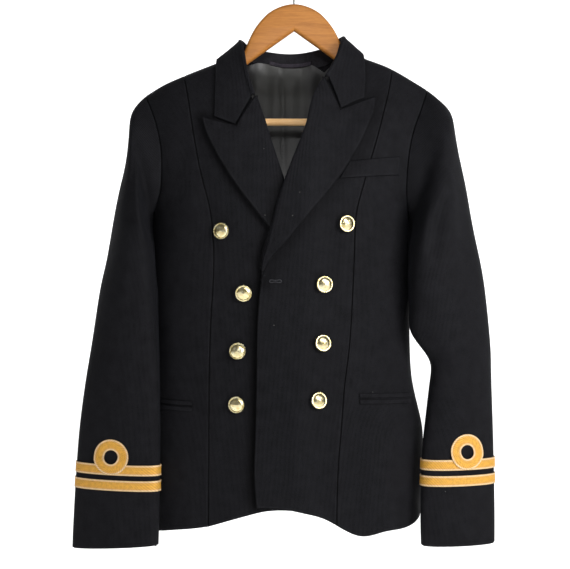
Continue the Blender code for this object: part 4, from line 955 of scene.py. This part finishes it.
# %% Folds
FOLDS = (  # cloth, side seen, line of (x, down), half width, height: a trough is negative; mm
    ("sleeve", -1, ((-226, 246), (-213, 304), (-196, 376)), 9, -3.2),
    ("sleeve", -1, ((-214, 238), (-193, 311), (-187, 366)), 9, 1.6),
    ("sleeve", -1, ((-236, 300), (-230, 390), (-236, 480)), 13, 1.4),
    ("sleeve", -1, ((-200, 488), (-238, 512)), 9, -1.8),
    ("sleeve", -1, ((-196, 532), (-232, 546)), 8, -1.2),
    ("sleeve", -1, ((206, 338), (191, 387), (180, 444)), 9, -3.2),
    ("sleeve", -1, ((216, 322), (208, 394), (197, 466)), 10, 1.7),
    ("sleeve", -1, ((186, 556), (222, 530)), 9, -2.4),
    ("sleeve", -1, ((190, 584), (218, 592)), 8, -1.4),
    ("sleeve", -1, ((238, 470), (246, 560), (240, 640)), 12, 1.2),
    ("body", -1, ((-131, 262), (-122, 329), (-109, 409), (-103, 484)), 11, -2.0),
    ("body", -1, ((-153, 289), (-147, 350), (-149, 420)), 12, 1.2),
    ("body", -1, ((-66, 440), (-30, 452)), 8, -0.8),
    ("body", -1, ((-60, 560), (-58, 650), (-64, 740)), 15, -1.4),
    ("body", -1, ((-104, 600), (-112, 690), (-108, 770)), 16, 1.2),
    ("body", -1, ((80, 336), (75, 409), (79, 490)), 11, -1.7),
    ("body", -1, ((118, 356), (112, 430), (116, 500)), 13, 1.2),
    ("body", -1, ((6, 560), (2, 650), (6, 750)), 18, 1.2),
    ("body", -1, ((36, 540), (30, 640), (24, 735)), 14, -1.3),
    ("body", -1, ((98, 600), (108, 700), (104, 790)), 17, 1.5),
    ("body", 1, ((-62, 290), (-48, 410), (-56, 540)), 16, -2.2),
    ("body", 1, ((72, 280), (56, 400), (62, 515)), 15, -1.8),
    ("body", 1, ((-118, 256), (-82, 334)), 12, 1.6),
    ("body", 1, ((126, 268), (90, 348)), 11, 1.3),
    ("body", 1, ((-60, 474), (-14, 464)), 9, -1.2),
    ("body", 1, ((12, 486), (62, 478)), 8, -1.0),
    ("body", 1, ((-44, 590), (-50, 680), (-46, 770)), 20, 2.0),
    ("body", 1, ((50, 610), (46, 700), (50, 775)), 18, 1.7),
    ("sleeve", 1, ((-190, 262), (-205, 330), (-202, 400)), 10, -2.6),
    ("sleeve", 1, ((-196, 470), (-232, 496)), 9, -2.2),
    ("sleeve", 1, ((-200, 520), (-228, 532)), 8, -1.5),
    ("sleeve", 1, ((182, 268), (200, 340), (196, 404)), 10, -2.4),
    ("sleeve", 1, ((188, 508), (226, 536)), 9, -2.2),
    ("sleeve", 1, ((194, 560), (222, 570)), 8, -1.3),
)


FOLD_TAPER, FOLD_FACING = 0.7, 1.6  # how soon a fold fades to its ends, and on cloth that turns away


def fold_height(places, kind, side):
    """How far the folds lift the cloth at each place, seen from one side."""
    flat = places[:, [0, 2]] * (1, -1) / MM
    height = np.zeros(len(places))
    for cloth_kind, seen, line, half, tall in FOLDS:
        if (cloth_kind, seen) != (kind, side):
            continue
        line = np.array(line, float)
        lengths = np.linalg.norm(np.diff(line, axis=0), axis=1)
        gap, share = np.full(len(flat), np.inf), np.zeros(len(flat))
        for a, b, before, length in zip(line, line[1:], np.cumsum(lengths) - lengths, lengths):
            along = np.clip(((flat - a) @ (b - a)) / length**2, 0, 1)
            off = np.linalg.norm(flat - a - along[:, None] * (b - a), axis=1)
            nearer = off < gap
            gap[nearer] = off[nearer]
            share[nearer] = (before + along[nearer] * length) / lengths.sum()
        height += tall * MM * np.exp(-((gap / half) ** 2)) * np.sin(math.pi * share) ** FOLD_TAPER
    return height


def fold(obj, kind):
    normals = border_of(obj.data)[1]
    places = coordinates(obj.data)
    moved = np.zeros(len(places))
    for side in (-1, 1):
        facing = np.clip(normals[:, 1] * side * FOLD_FACING, 0, 1)
        moved += side * facing * fold_height(places, kind, side)
    places[:, 1] += moved
    move_points(obj.data, places)
    return float(np.abs(moved).max())


for node, piece in cloth.items():
    kind = "sleeve" if "sleeve" in node else "body"
    print(node, "deepest fold", round(fold(piece, kind) / MM, 1))

# %% [markdown]
# The skirt on the wearer's left stands out a little over the hip.

# %% Over the hip
HIP_TOP, HIP_FULL, HIP_OUT = 590.0, 680.0, 2.8  # mm down where it starts and is full, and how far out
HIP_LENGTH, HIP_EASES = 150.0, 0.4  # mm below that over which it eases, and by what share
HIP_FROM, HIP_WIDTH = 95.0, 45.0  # mm aside
for node in ("side_front_left", "back_left"):
    mesh = cloth[node].data
    places = coordinates(mesh)
    down = -places[:, 2] / MM
    window = (smoothstep((down - HIP_TOP) / (HIP_FULL - HIP_TOP))
              * (1 - smoothstep((down - HIP_FULL) / HIP_LENGTH) * HIP_EASES))
    aside = smoothstep((places[:, 0] / MM - HIP_FROM) / HIP_WIDTH)
    places[:, 0] += HIP_OUT * MM * window * aside
    move_points(mesh, places)
    print(node, "out by up to mm", round(HIP_OUT * float((window * aside).max()), 1))

# %% [markdown]
# Right beside a lapel, the collar or the overlapping front, the wool is darkened as painted shade, in place
# of the shadow that the covering edge casts. Each covering rim says how far it reaches.

# %% Painted shade beside what covers the cloth, and painted light on the collar's stand
def flat_tree(points):
    """A search tree of places as seen from the front."""
    return search_tree([(x, 0.0, z) for x, z in points])


OVERLAP_ASIDE, OVERLAP_TOP, OVERLAP_END = -0.030, -0.44, -0.76  # the over front's edge, from the break down
FRONT_SIDE, NECK_HALF = 0.02, 0.045  # cloth in front of this y is seen, and the collar outside this x falls
over_edge = stitches(cloth["front_left"].data)
over_edge = over_edge[over_edge[:, 0] < OVERLAP_ASIDE]
over_edge = over_edge[(over_edge[:, 2] < OVERLAP_TOP) & (over_edge[:, 2] > OVERLAP_END)][:, [0, 2]]
collar_rim = stitches(cloth["collar"].data)
collar_rim = collar_rim[(collar_rim[:, 1] < FRONT_SIDE) & (np.abs(collar_rim[:, 0]) > NECK_HALF)][:, [0, 2]]
# Each row paints shade on the cloth beside a covering rim.
COVERED = (  # cloth, the rim that covers it, reach in mm, how much darker
    (("front_right", "side_front_right"), lapel_rims["right"][1], 10.0, 0.5),
    (("front_left", "side_front_left", "breast_welt"), lapel_rims["left"][1], 15.0, 0.4),
    (("front_right", "lapel_right"), lapel_rims["left"][0], 10.0, 0.6),
    (("front_right",), over_edge, 12.0, 0.75),
    (("lapel_right", "lapel_left", "back_right", "back_left", "front_right", "front_left"), collar_rim, 5.0,
     0.4),
)
fresh = {}
for nodes, covering, reach, darker in COVERED:
    tree = flat_tree(covering)
    for node in nodes:
        places = coordinates(cloth[node].data)
        far = np.array([tree.find((x, 0.0, z))[2] for x, _, z in places]) / MM
        share = darker * np.exp(-((far / reach) ** 2)) * (places[:, 1] < FRONT_SIDE)
        fresh[node] = np.maximum(fresh.get(node, 0), share)
STAND_PAINTED_LIGHT = 0.9  # painted light: how much the inside of the collar's stand, which lies in shade, is lightened
STAND_FROM, STAND_OVER = 0.005, 0.03  # y behind which that starts, and over how much it grows
places, normals = coordinates(cloth["collar"].data), border_of(cloth["collar"].data)[1]
fresh["collar"] = -STAND_PAINTED_LIGHT * smoothstep((places[:, 1] - STAND_FROM) / STAND_OVER) * (normals[:, 1] < 0)
for node, share in fresh.items():
    note(cloth[node].data, "fresh", share)
    print(node, "darkest", round(float(share.max()), 2))

# %% [markdown]
# Now each panel is finished. Its border is cut finer and rolled in, at a seam the same way as its neighbour,
# and the face gets its thickness. Side fronts and sleeves show satin inside.

# %% Sewing the wool
SEAM_WITHIN = 1.2 * MM  # a border this near another panel's is a seam
borders = {node: stitches(cloth[node].data) for node in SEWN}
rims = {}  # each panel's border points and the way they face
for node in SEWN:
    rim, normals = border_of(cloth[node].data)
    places = coordinates(cloth[node].data)
    rims[node] = (np.array([places[index] for index in rim]), np.array([normals[index] for index in rim]))
for node, piece in cloth.items():
    seam = facing = None
    if node in SEWN:
        others = other_borders(node, borders)
        shared = [point for point in borders[node] if others.find(point)[2] < SEAM_WITHIN]
        seam = search_tree(shared)
        neighbours = [other for other in SEWN if sewable(node, other)]
        theirs = np.concatenate([rims[other][0] for other in neighbours])
        their_facing = np.concatenate([rims[other][1] for other in neighbours])
        their_tree = search_tree(theirs)
        facing = [their_facing[their_tree.find(point)[1]] for point in shared]
    refine_border(piece)
    if node.startswith("lapel"):
        turn_edges(piece, LAPEL_WIDTH, LAPEL_TURN, LAPEL_OUT)
    else:
        turn_edges(piece, seam=seam, facing=facing)
    inside = (LINING,) if node.startswith(("side", "top", "under")) else ()  # the others are wool inside too
    thicken(piece, WOOL_THICK, NAVY, *inside)
    dress(piece, "wool", node)

# %% [markdown]
# ## Jets, loop and lining
# Each hip pocket's slit lies between two narrow folded strips. The neck has a loop across it, and the satin
# lining is sewn up the middle: its two halves are joined along that seam before they are smoothed.

# %% Jets and loop
LOOP_MOVED = (0, -2.5 * MM, 9.0 * MM)  # up towards the seam between the lining and the collar
STRIP_EDGE, STRIP_TURN, STRIP_THICK = 1.6 * MM, 0.5 * MM, 1.0 * MM
small = {}
for node, facing, material, slot in (
    ("jet_upper_left", Vector((0, -1, 0)), NAVY, "wool"),
    ("jet_lower_left", Vector((0, -1, 0)), NAVY, "wool"),
    ("jet_upper_right", Vector((-0.3, -1, 0)), NAVY, "wool"),
    ("jet_lower_right", Vector((-0.3, -1, 0)), NAVY, "wool"),
    ("hanging_loop", Vector((0, -1, 0)), TAPE, "lining"),
):
    piece = peel(node, 50, facing)
    grid = find_grid(piece)
    lay_flat(piece)
    missed = smooth_through(piece, 3)
    if node.startswith("jet"):
        fold(piece, "body")
    else:
        move_points(piece.data, coordinates(piece.data) + LOOP_MOVED)
    turn_edges(piece, STRIP_EDGE, STRIP_TURN, 0.0)
    thicken(piece, STRIP_THICK, material)
    small[node] = dress(piece, slot, node)
    print(node, "quads, triangles:", grid, "missed", round(missed / MM, 2))

# %% Lining
SEAM_JOIN = 1.0 * MM
halves = [peel("lining_" + side, 50, Vector((0, -1, 0))) for side in ("right", "left")]
for half in halves:
    print(half.name, "quads, triangles:", find_grid(half))
only(*halves)
bpy.ops.object.join()
lining = bpy.context.object
lining.name = lining.data.name = "back_lining"
edit(lining)
bpy.ops.mesh.remove_doubles(threshold=SEAM_JOIN)
close()

# The satin is sewn in right under the collar, so its top edge is drawn up along the inside of the back.
BEHIND_BACK, TOP_FORWARD = 3.2 * MM, 1.6 * MM  # how far inside the back, and drawn forward at the top
TOP_MIDDLE, TOP_LEVEL, TOP_RISE, TOP_SPAN = -14.0, -155.5, 3.0, 40.0  # mm: a shallow curve along the collar
TOP_HELD, TOP_EASES = 38.0, 16.0  # mm aside within which the curve holds, and over which it eases
TOP_ABOVE, TOP_STEEP, DRAWN_UP = -0.186, 0.75, 14.5 * MM  # edges over this height and less steep are the top
FORWARD_OVER, FORWARD_HALF, FORWARD_EASES = 0.012, 0.05, 0.016  # up to the top, aside, and easing aside
back_trees = []
for side in ("right", "left"):
    raw = peel("back_" + side)
    back_trees.append(surface_tree(raw.data))
    bpy.data.objects.remove(raw)
unselect(lining, "EDGE")
shape = bmesh.new()
shape.from_mesh(lining.data)
shape.edges.ensure_lookup_table()
top_edges = [edge.index for edge in shape.edges
             if edge.is_boundary and min(v.co.z for v in edge.verts) > TOP_ABOVE
             and abs((edge.verts[0].co - edge.verts[1].co).normalized().z) < TOP_STEEP]
shape.free()
for index in top_edges:
    lining.data.edges[index].select = True
print("lining's top edges:", len(top_edges))
bpy.ops.object.mode_set(mode="EDIT")
bpy.ops.mesh.extrude_region_move(TRANSFORM_OT_translate={"value": (0, 0, DRAWN_UP)})
close()
for point in lining.data.vertices:
    if point.select:
        hit = min((tree.find_nearest(point.co) for tree in back_trees), key=lambda found: found[3])
        point.co = hit[0] - hit[1] * BEHIND_BACK if hit[1].y > 0 else hit[0] + hit[1] * BEHIND_BACK
        aside = point.co.x / MM - TOP_MIDDLE
        level = (TOP_LEVEL + TOP_RISE * (aside / TOP_SPAN) ** 2) * MM
        held = 1 - float(smoothstep((abs(aside) - TOP_HELD) / TOP_EASES))
        point.co.y -= TOP_FORWARD * held
        point.co.z += (level - point.co.z) * held
for point in lining.data.vertices:
    if not point.select:
        high = smoothstep((point.co.z - TOP_ABOVE) / FORWARD_OVER)
        near_top = high * (1 - smoothstep((abs(point.co.x) - FORWARD_HALF) / FORWARD_EASES))
        point.co.y -= TOP_FORWARD * float(near_top)
cut["lining"] = (*lay_flat(lining), area_of(lining))
print("lining missed", round(smooth_through(lining, 3) / MM, 2))

# %% [markdown]
# A lining needs some ease, so that it can give when the wearer moves: it lies in soft pleats that hang from
# the neck.

# %% Pleats in the lining
PLEATS = (  # x at the top, lean to the side on the way down, half width, height; mm
    (-16.0, 2.0, 1.6, -1.6), (-26.0, -5.0, 4.0, 0.9), (-38.0, -9.0, 5.0, -1.0), (-4.0, 3.0, 4.5, 0.8),
    (10.0, 6.0, 5.0, -0.9), (24.0, 10.0, 6.0, 1.1), (38.0, 14.0, 6.0, -1.1), (-52.0, -14.0, 6.0, 1.1),
)
PLEAT_TOP, PLEAT_LENGTH, PLEAT_LEFT = 165.0, 200.0, 0.15  # mm down, mm, and the share left at the bottom
LINING_SEAM = -16.0
SHADE_ASIDE, SHADE_OVER, SHADE_SIDES = 24.0, 22.0, 0.8  # mm beside the seam, over how many, and how dark
SHADE_END, SHADE_ENDS = 320.0, 60.0  # mm down, and over how many
LOW_FROM, LOW_OVER, SHADE_LOW = 236.0, 26.0, 0.7  # mm down, over how many, and how dark
COVER_ABOVE, COVER_REACH, COVER_GAP = -0.205, 9.0 * MM, 0.9 * MM
COVER_FLAT, COVER_SPREAD = 6.0 * MM, 22.0 * MM  # how far round the wool the satin follows, in full and at all
PAST = 0.01 * MM  # a ray starts again this far past what it met
SATIN_THICK = 0.8 * MM
places = coordinates(lining.data)
for top_x, lean, half, height in PLEATS:
    drop = np.clip((-places[:, 2] / MM - PLEAT_TOP) / PLEAT_LENGTH, 0, 1)
    aside = places[:, 0] / MM - top_x - lean * drop
    wave = np.exp(-(aside / (half * (1 + drop))) ** 2) * np.clip(1 - drop, PLEAT_LEFT, 1)
    places[:, 1] -= height * MM * wave
move_points(lining.data, places)
# The satin is darkened as painted shade at its sides and low down, where it lies deep inside the tunic; the
# satin reads this through its shade attribute.
aside = np.abs(places[:, 0] / MM - LINING_SEAM)
wear_and_painted_shade = (smoothstep((aside - SHADE_ASIDE) / SHADE_OVER) * SHADE_SIDES
        * smoothstep((SHADE_END + places[:, 2] / MM) / SHADE_ENDS))
wear_and_painted_shade = np.maximum(wear_and_painted_shade, SHADE_LOW * smoothstep((-places[:, 2] / MM - LOW_FROM) / LOW_OVER))

# Where the wool of the back or the collar still stands proud of the satin, the satin is drawn out over it.
wool_trees = [surface_tree(cloth[node].data) for node in ("back_right", "back_left", "collar")]
proud = {}  # point number: how far the wool stands in front of the satin there
for number, place in enumerate(places):
    if place[2] < COVER_ABOVE:
        continue
    front = None
    for tree in wool_trees:
        start, reach = Vector(place), COVER_REACH
        while reach > 0:
            hit, _, _, gap = tree.ray_cast(start, Vector((0, -1, 0)), reach)
            if hit is None:
                break
            front = hit.y if front is None else min(front, hit.y)
            reach -= gap + PAST
            start = hit + Vector((0, -PAST, 0))
    if front is not None:
        proud[number] = places[number, 1] - front + COVER_GAP
numbers = list(proud)
near_wool = search_tree(places[numbers])
draped = places.copy()
for number, place in enumerate(places):
    for _, found, gap in near_wool.find_range(place, COVER_SPREAD):
        share = 1 - float(smoothstep((gap - COVER_FLAT) / (COVER_SPREAD - COVER_FLAT)))
        draped[number, 1] = min(draped[number, 1], place[1] - proud[numbers[found]] * share)
move_points(lining.data, draped)
print("lining points drawn out:", len(proud), "by up to mm", round(max(proud.values()) / MM, 1))
note(lining.data, "shade", wear_and_painted_shade)
thicken(lining, SATIN_THICK, LINING)
small["lining"] = dress(lining, "lining", "lining_right", "lining_left")

# %% [markdown]
# ## Buttonhole
# One worked buttonhole shows at the break. Silk twist is sewn close round the slit, so it stands up as a long
# thin loop. A circle is drawn out to that length, made round in section, and laid on the cloth.

# %% Buttonhole
SLIT = (-33.0, -17.6, -464.4)  # from x, to x, height; mm
SLIT_HALF, TWIST, TWIST_PROUD = 1.1 * MM, 0.55 * MM, 0.1 * MM
AHEAD = -0.2  # y of a point in front of the tunic


def silk_twist(name):
    material, tree, shader = finish(name, {"Roughness": 0.5})
    place = add(tree, "ShaderNodeTexCoord").outputs["Object"]
    turns = add(tree, "ShaderNodeTexWave", {"Vector": place, "Scale": sine_period(0.8 * MM),
                "Distortion": 1.0}, wave_type="BANDS", bands_direction="X")
    ramp = add(tree, "ShaderNodeValToRGB", {"Fac": turns.outputs["Fac"]})
    set_stops(ramp, (0.0, "#0a0a0e"), (1.0, "#2b2b33"))
    raised = add(tree, "ShaderNodeBump", {"Height": turns.outputs["Fac"], "Strength": 0.6,
                 "Distance": 0.2 * MM})
    plug(tree, shader, {"Base Color": ramp.outputs["Color"], "Normal": raised.outputs["Normal"]})
    return material


bpy.ops.object.select_all(action="DESELECT")
bpy.ops.curve.primitive_bezier_circle_add(radius=1.0)
buttonhole = bpy.context.object
buttonhole.name = buttonhole.data.name = "buttonhole"
half_length = (SLIT[1] - SLIT[0]) / 2 * MM
for point in buttonhole.data.splines[0].bezier_points:
    for key in ("co", "handle_left", "handle_right"):
        x, y, z = getattr(point, key)
        setattr(point, key, (x * half_length, y * SLIT_HALF, z))
buttonhole.data.resolution_u = 16
buttonhole.data.bevel_depth, buttonhole.data.bevel_resolution = TWIST, 3
buttonhole.rotation_euler = (math.pi / 2, 0, 0)
buttonhole.location = ((SLIT[0] + SLIT[1]) / 2 * MM, 0, SLIT[2] * MM)
only(buttonhole)
bpy.ops.object.convert(target="MESH")
buttonhole = bpy.context.object
settle(buttonhole)
over_front = surface_tree(cloth["front_left"].data)
places = coordinates(buttonhole.data)
for number, (x, y, z) in enumerate(places):
    hit = over_front.ray_cast(Vector((x, AHEAD, z)), Vector((0, 1, 0)))[0]
    places[number, 1] = y + hit.y + TWIST_PROUD
move_points(buttonhole.data, places)
buttonhole.data.materials.append(silk_twist("navy_silk_twist"))
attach(buttonhole, "root")
print("buttonhole faces:", len(buttonhole.data.polygons))

# %% [markdown]
# ## Rank lace
# Two rings of lace go round each cuff, and a curl of it stands on the upper one. Each piece gets a second
# layout with the share of the way across.

# %% Rank lace
LACE = ("lace_upper_right", "lace_lower_right", "lace_upper_left", "lace_lower_left", "curl_right",
        "curl_left")
LACE_WIDTH, LACE_THICK = 0.0143, 1.0 * MM
LACE_RIBS = 5
RIB_HEIGHT, RIB_SUNK = 0.35 * MM, 0.6  # the second is the share of its height that a rib lies in


def loops_of(mesh):
    """The border loops of a mesh, each a list of its point numbers."""
    shape = bmesh.new()
    shape.from_mesh(mesh)
    ends = {}
    for edge in shape.edges:
        if edge.is_boundary:
            a, b = edge.verts
            ends.setdefault(a.index, []).append(b.index)
            ends.setdefault(b.index, []).append(a.index)
    shape.free()
    loops, left = [], set(ends)
    while left:
        walk, found = [left.pop()], []
        while walk:
            point = walk.pop()
            found.append(point)
            for other in ends[point]:
                if other in left:
                    left.discard(other)
                    walk.append(other)
        loops.append(found)
    return sorted(loops, key=len)


def share_across(mesh):
    """How far each point lies from the first border loop towards the second, from 0 to 1."""
    places = coordinates(mesh)
    trees = [search_tree(places[loop]) for loop in loops_of(mesh)[-2:]]
    near = np.array([[tree.find(place)[2] for tree in trees] for place in places])
    return near[:, 0] / near.sum(axis=1)


def lay_ring(obj, centre, axes):
    """A ring's two layouts: metres round it and across it, and the share across it."""
    mesh = obj.data
    share = share_across(mesh)
    flat = (coordinates(mesh) - np.array(centre)) @ np.array(axes).T
    turn = np.arctan2(flat[:, 1], flat[:, 0])
    radius = float(np.hypot(flat[:, 0], flat[:, 1]).mean())
    while mesh.uv_layers:
        mesh.uv_layers.remove(mesh.uv_layers[0])
    cut_layer = mesh.uv_layers.new(name="cut")
    across_layer = mesh.uv_layers.new(name="across")
    for face in mesh.polygons:
        turns = [turn[v] for v in face.vertices]
        wraps = max(turns) - min(turns) > math.pi
        for loop, v in zip(face.loop_indices, face.vertices):
            round_at = turn[v] + (2 * math.pi if wraps and turn[v] < 0 else 0)
            cut_layer.data[loop].uv = (round_at * radius, share[v] * LACE_WIDTH)
            across_layer.data[loop].uv = (share[v], 0.0)
    return share


def rib(obj, share):
    """Raises the cords that run along a braid."""
    normals = np.empty(len(obj.data.vertices) * 3, np.float32)
    obj.data.vertex_normals.foreach_get("vector", normals)
    height = RIB_HEIGHT * (np.abs(np.sin(math.pi * LACE_RIBS * share)) - RIB_SUNK)
    move_points(obj.data, coordinates(obj.data) + normals.reshape(-1, 3) * height[:, None])


for node in LACE:
    ring = node.startswith("lace")
    piece = peel(node, 50)
    find_grid(piece)
    smooth_through(piece, 3 if ring else 2)
    edit(piece)
    bpy.ops.mesh.subdivide(number_cuts=2)
    close()
    low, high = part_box(node)
    middle = (low + high) / 2
    share = lay_ring(piece, middle, ((1, 0, 0), (0, 1, 0)) if ring else ((1, 0, 0), (0, 0, 1)))
    rib(piece, share)
    thicken(piece, LACE_THICK, GOLD)
    small[node] = dress(piece, "lace", node)
    print(node, "faces:", len(piece.data.polygons))

# %% [markdown]
# ## Buttons
# One gilt button is modelled: a disc drawn up ring by ring into a dome, a roped rim of small slanted beads
# and an eight-pointed star. Eight copies of it are then stood where the solids have them.

# %% One button
BUTTON_RADIUS = 11.2 * MM
DOME = (  # radius and height over the rim, both as shares of the radius
    (0.93, 0.0), (1.0, 0.05), (1.0, 0.12), (0.95, 0.19), (0.86, 0.2), (0.82, 0.19), (0.74, 0.27),
    (0.6, 0.345), (0.44, 0.40), (0.26, 0.435), (0.1, 0.448),
)
SHANK = ((0.2, -0.28), (0.2, 0.02))
STAR = ((0.5, 0.36), (0.5, 0.40), (0.06, 0.52))
STAR_POINTS, STAR_FROM, STAR_NOTCH, NOTCH_HIGHER = 8, 0.3, 0.5, 0.035  # the last three are shares
ROPE_BEADS, ROPE_OUT, ROPE_HIGH, ROPE_SLANT = 30, 0.9, 0.19, 0.6  # shares of the radius, and radians
BEAD = (1.5 * MM, 0.8 * MM, 0.75 * MM)


def draw_up(profile, sides, unit):
    """A disc whose face is extruded and scaled through a profile of rings."""
    bpy.ops.object.select_all(action="DESELECT")
    bpy.ops.mesh.primitive_circle_add(vertices=sides, radius=profile[0][0] * unit, fill_type="NGON",
                                      location=(0, 0, profile[0][1] * unit))
    made = bpy.context.object
    settle(made)
    edit(made, "FACE")
    for (radius, height), (wider, higher) in zip(profile, profile[1:]):
        bpy.ops.mesh.extrude_region_move(TRANSFORM_OT_translate={"value": (0, 0, (higher - height) * unit)})
        scale = wider / radius
        bpy.ops.transform.resize(value=(scale, scale, 1), center_override=(0, 0, 0))
    bpy.ops.mesh.poke()
    close()
    return made


bpy.ops.object.select_all(action="DESELECT")
dome = draw_up(DOME, 48, BUTTON_RADIUS)
back = draw_up(SHANK, 16, BUTTON_RADIUS)
star = draw_up(STAR, 2 * STAR_POINTS, BUTTON_RADIUS)
for point in star.data.vertices:
    turn = round(math.atan2(point.co.y, point.co.x) / (math.pi / STAR_POINTS))
    if math.hypot(point.co.x, point.co.y) > STAR_FROM * BUTTON_RADIUS and turn % 2:
        point.co.x *= STAR_NOTCH
        point.co.y *= STAR_NOTCH
        point.co.z += NOTCH_HIGHER * BUTTON_RADIUS
parts = [dome, back, star]
for number in range(ROPE_BEADS):
    turn = 2 * math.pi * number / ROPE_BEADS
    place = Vector((math.cos(turn), math.sin(turn), 0)) * ROPE_OUT * BUTTON_RADIUS
    place.z = ROPE_HIGH * BUTTON_RADIUS
    bpy.ops.object.select_all(action="DESELECT")
    bpy.ops.mesh.primitive_ico_sphere_add(subdivisions=1, radius=1.0, location=place,
                                          rotation=(0, 0, turn + ROPE_SLANT), scale=BEAD)
    bead = bpy.context.object
    settle(bead)
    parts.append(bead)
only(dome)
for part in parts:
    part.select_set(True)
bpy.ops.object.join()
button = bpy.context.object
button.name = button.data.name = "button_model"
edit(button)
bpy.ops.mesh.normals_make_consistent(inside=False)
close()
coat(button, GILT)
only(button)
bpy.ops.object.shade_smooth_by_angle(angle=math.radians(40))
print("button faces:", len(button.data.polygons))

# %% Eight buttons
RIM_BELOW = 0.44  # how far the rim lies below the solid's top, as a share of the radius
for node in sorted(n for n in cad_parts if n.startswith("button")):
    places = coordinates(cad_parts[node].data)
    middle = places.mean(axis=0)
    spread = np.linalg.svd(places - middle)[2]
    axis = Vector(spread[2])
    if axis.y > 0:
        axis = -axis
    heights = (places - middle) @ np.array(axis)
    top = Vector(middle) + axis * float(heights.max())
    rim = top - axis * RIM_BELOW * BUTTON_RADIUS
    rim.y -= float(fold_height(np.array([middle]), "body", -1)[0])
    copy = bring_in(node + "_gilt", button.data.copy())
    copy.data.transform(Matrix.Translation(rim) @ axis.to_track_quat("Z", "Y").to_matrix().to_4x4())
    small[node] = dress(copy, "buttons", node)
bpy.data.objects.remove(button)
print("buttons:", sum(n.startswith("button") for n in small))

# %% [markdown]
# ## The hanger
# The wood is sawn from a board to a wishbone outline and its edges are rounded. The outline is a smooth
# closed line through measured points, extruded and bevelled as a curve and then made a mesh.

# %% The hanger's wood
OUTLINE = (  # x, down: the right half, from the apex round the tip to the crotch
    (0.0, 75.0), (18.0, 78.3), (35.0, 87.0), (47.5, 99.4), (57.0, 112.7), (65.0, 129.0), (71.0, 144.0),
    (80.0, 153.0), (96.0, 156.0), (120.0, 165.3), (145.0, 175.7), (165.0, 188.0), (180.0, 202.2),
    (188.0, 212.0), (191.5, 224.0), (190.0, 240.0), (184.0, 249.5), (174.0, 251.5), (166.5, 247.0),
    (163.5, 238.0), (155.0, 225.0), (130.0, 203.0), (100.0, 183.0), (67.0, 160.5), (34.0, 137.0),
    (12.0, 121.5),
)
CROTCH = (0.0, 113.0)
WOOD_THICK, WOOD_ROUND = 12.0, 4.8

right_half = [(x, down) for x, down in OUTLINE] + [CROTCH]
whole = [CROTCH] + [(-x, down) for x, down in reversed(OUTLINE[1:])] + right_half
corners = np.array([whole[0], *whole, whole[-1]])
fine_line = []
for k in range(1, len(corners) - 2):
    before, here, after, beyond = corners[k - 1 : k + 3]
    for t in (0.0, 0.25, 0.5, 0.75):
        fine_line.append((
            here * 2 + (after - before) * t + (before * 2 - here * 5 + after * 4 - beyond) * t**2
            + (here * 3 - before - after * 3 + beyond) * t**3
        ) / 2)
sawn = bpy.data.curves.new("hanger", "CURVE")
sawn.dimensions, sawn.fill_mode = "2D", "BOTH"
sawn.extrude = (WOOD_THICK / 2 - WOOD_ROUND) * MM
sawn.bevel_depth, sawn.bevel_resolution = WOOD_ROUND * MM, 4
sawn.offset = -WOOD_ROUND * MM
spline = sawn.splines.new("POLY")
spline.points.add(len(fine_line) - 1)
spline.use_cyclic_u = True
for point, (x, down) in zip(spline.points, fine_line):
    point.co = (x * MM, -down * MM, 0, 1)
hanger = bring_in("hanger", sawn)
only(hanger)
bpy.ops.object.convert(target="MESH")
hanger = bpy.context.object
hanger.rotation_euler = (math.pi / 2, 0, 0)
settle(hanger)
edit(hanger)
bpy.ops.mesh.remove_doubles(threshold=0.01 * MM)
bpy.ops.mesh.normals_make_consistent(inside=False)
close()
coat(hanger, BEECH)
only(hanger)
bpy.ops.object.shade_smooth_by_angle(angle=math.radians(30))
dress(hanger, "wood", "hanger_wood")
print("hanger faces:", len(hanger.data.polygons))

# %% Bar and hook keep their solids
for node, material in (("trouser_bar", PALE_BEECH), ("hook", WIRE)):
    coat(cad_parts[node], material)
    print(node, "in", material.name)

# %% [markdown]
# ## What each sheet was cut from
# The layouts above are flat and true to size, so their widths and lengths are the cuts. Here each
# sheet and each piece of lace is only looked up, and the sheets are counted.

# %% Counting the sheets
for node in list(PANELS) + ["lining"]:
    piece = cloth.get(node) or small[node]
    hangs_from = PANELS[node][2] if node in PANELS else ["hanger"]
for node in LACE:
    side = node.split("_")[-1]
print("sheets:", len(PANELS) + 1 + len(LACE))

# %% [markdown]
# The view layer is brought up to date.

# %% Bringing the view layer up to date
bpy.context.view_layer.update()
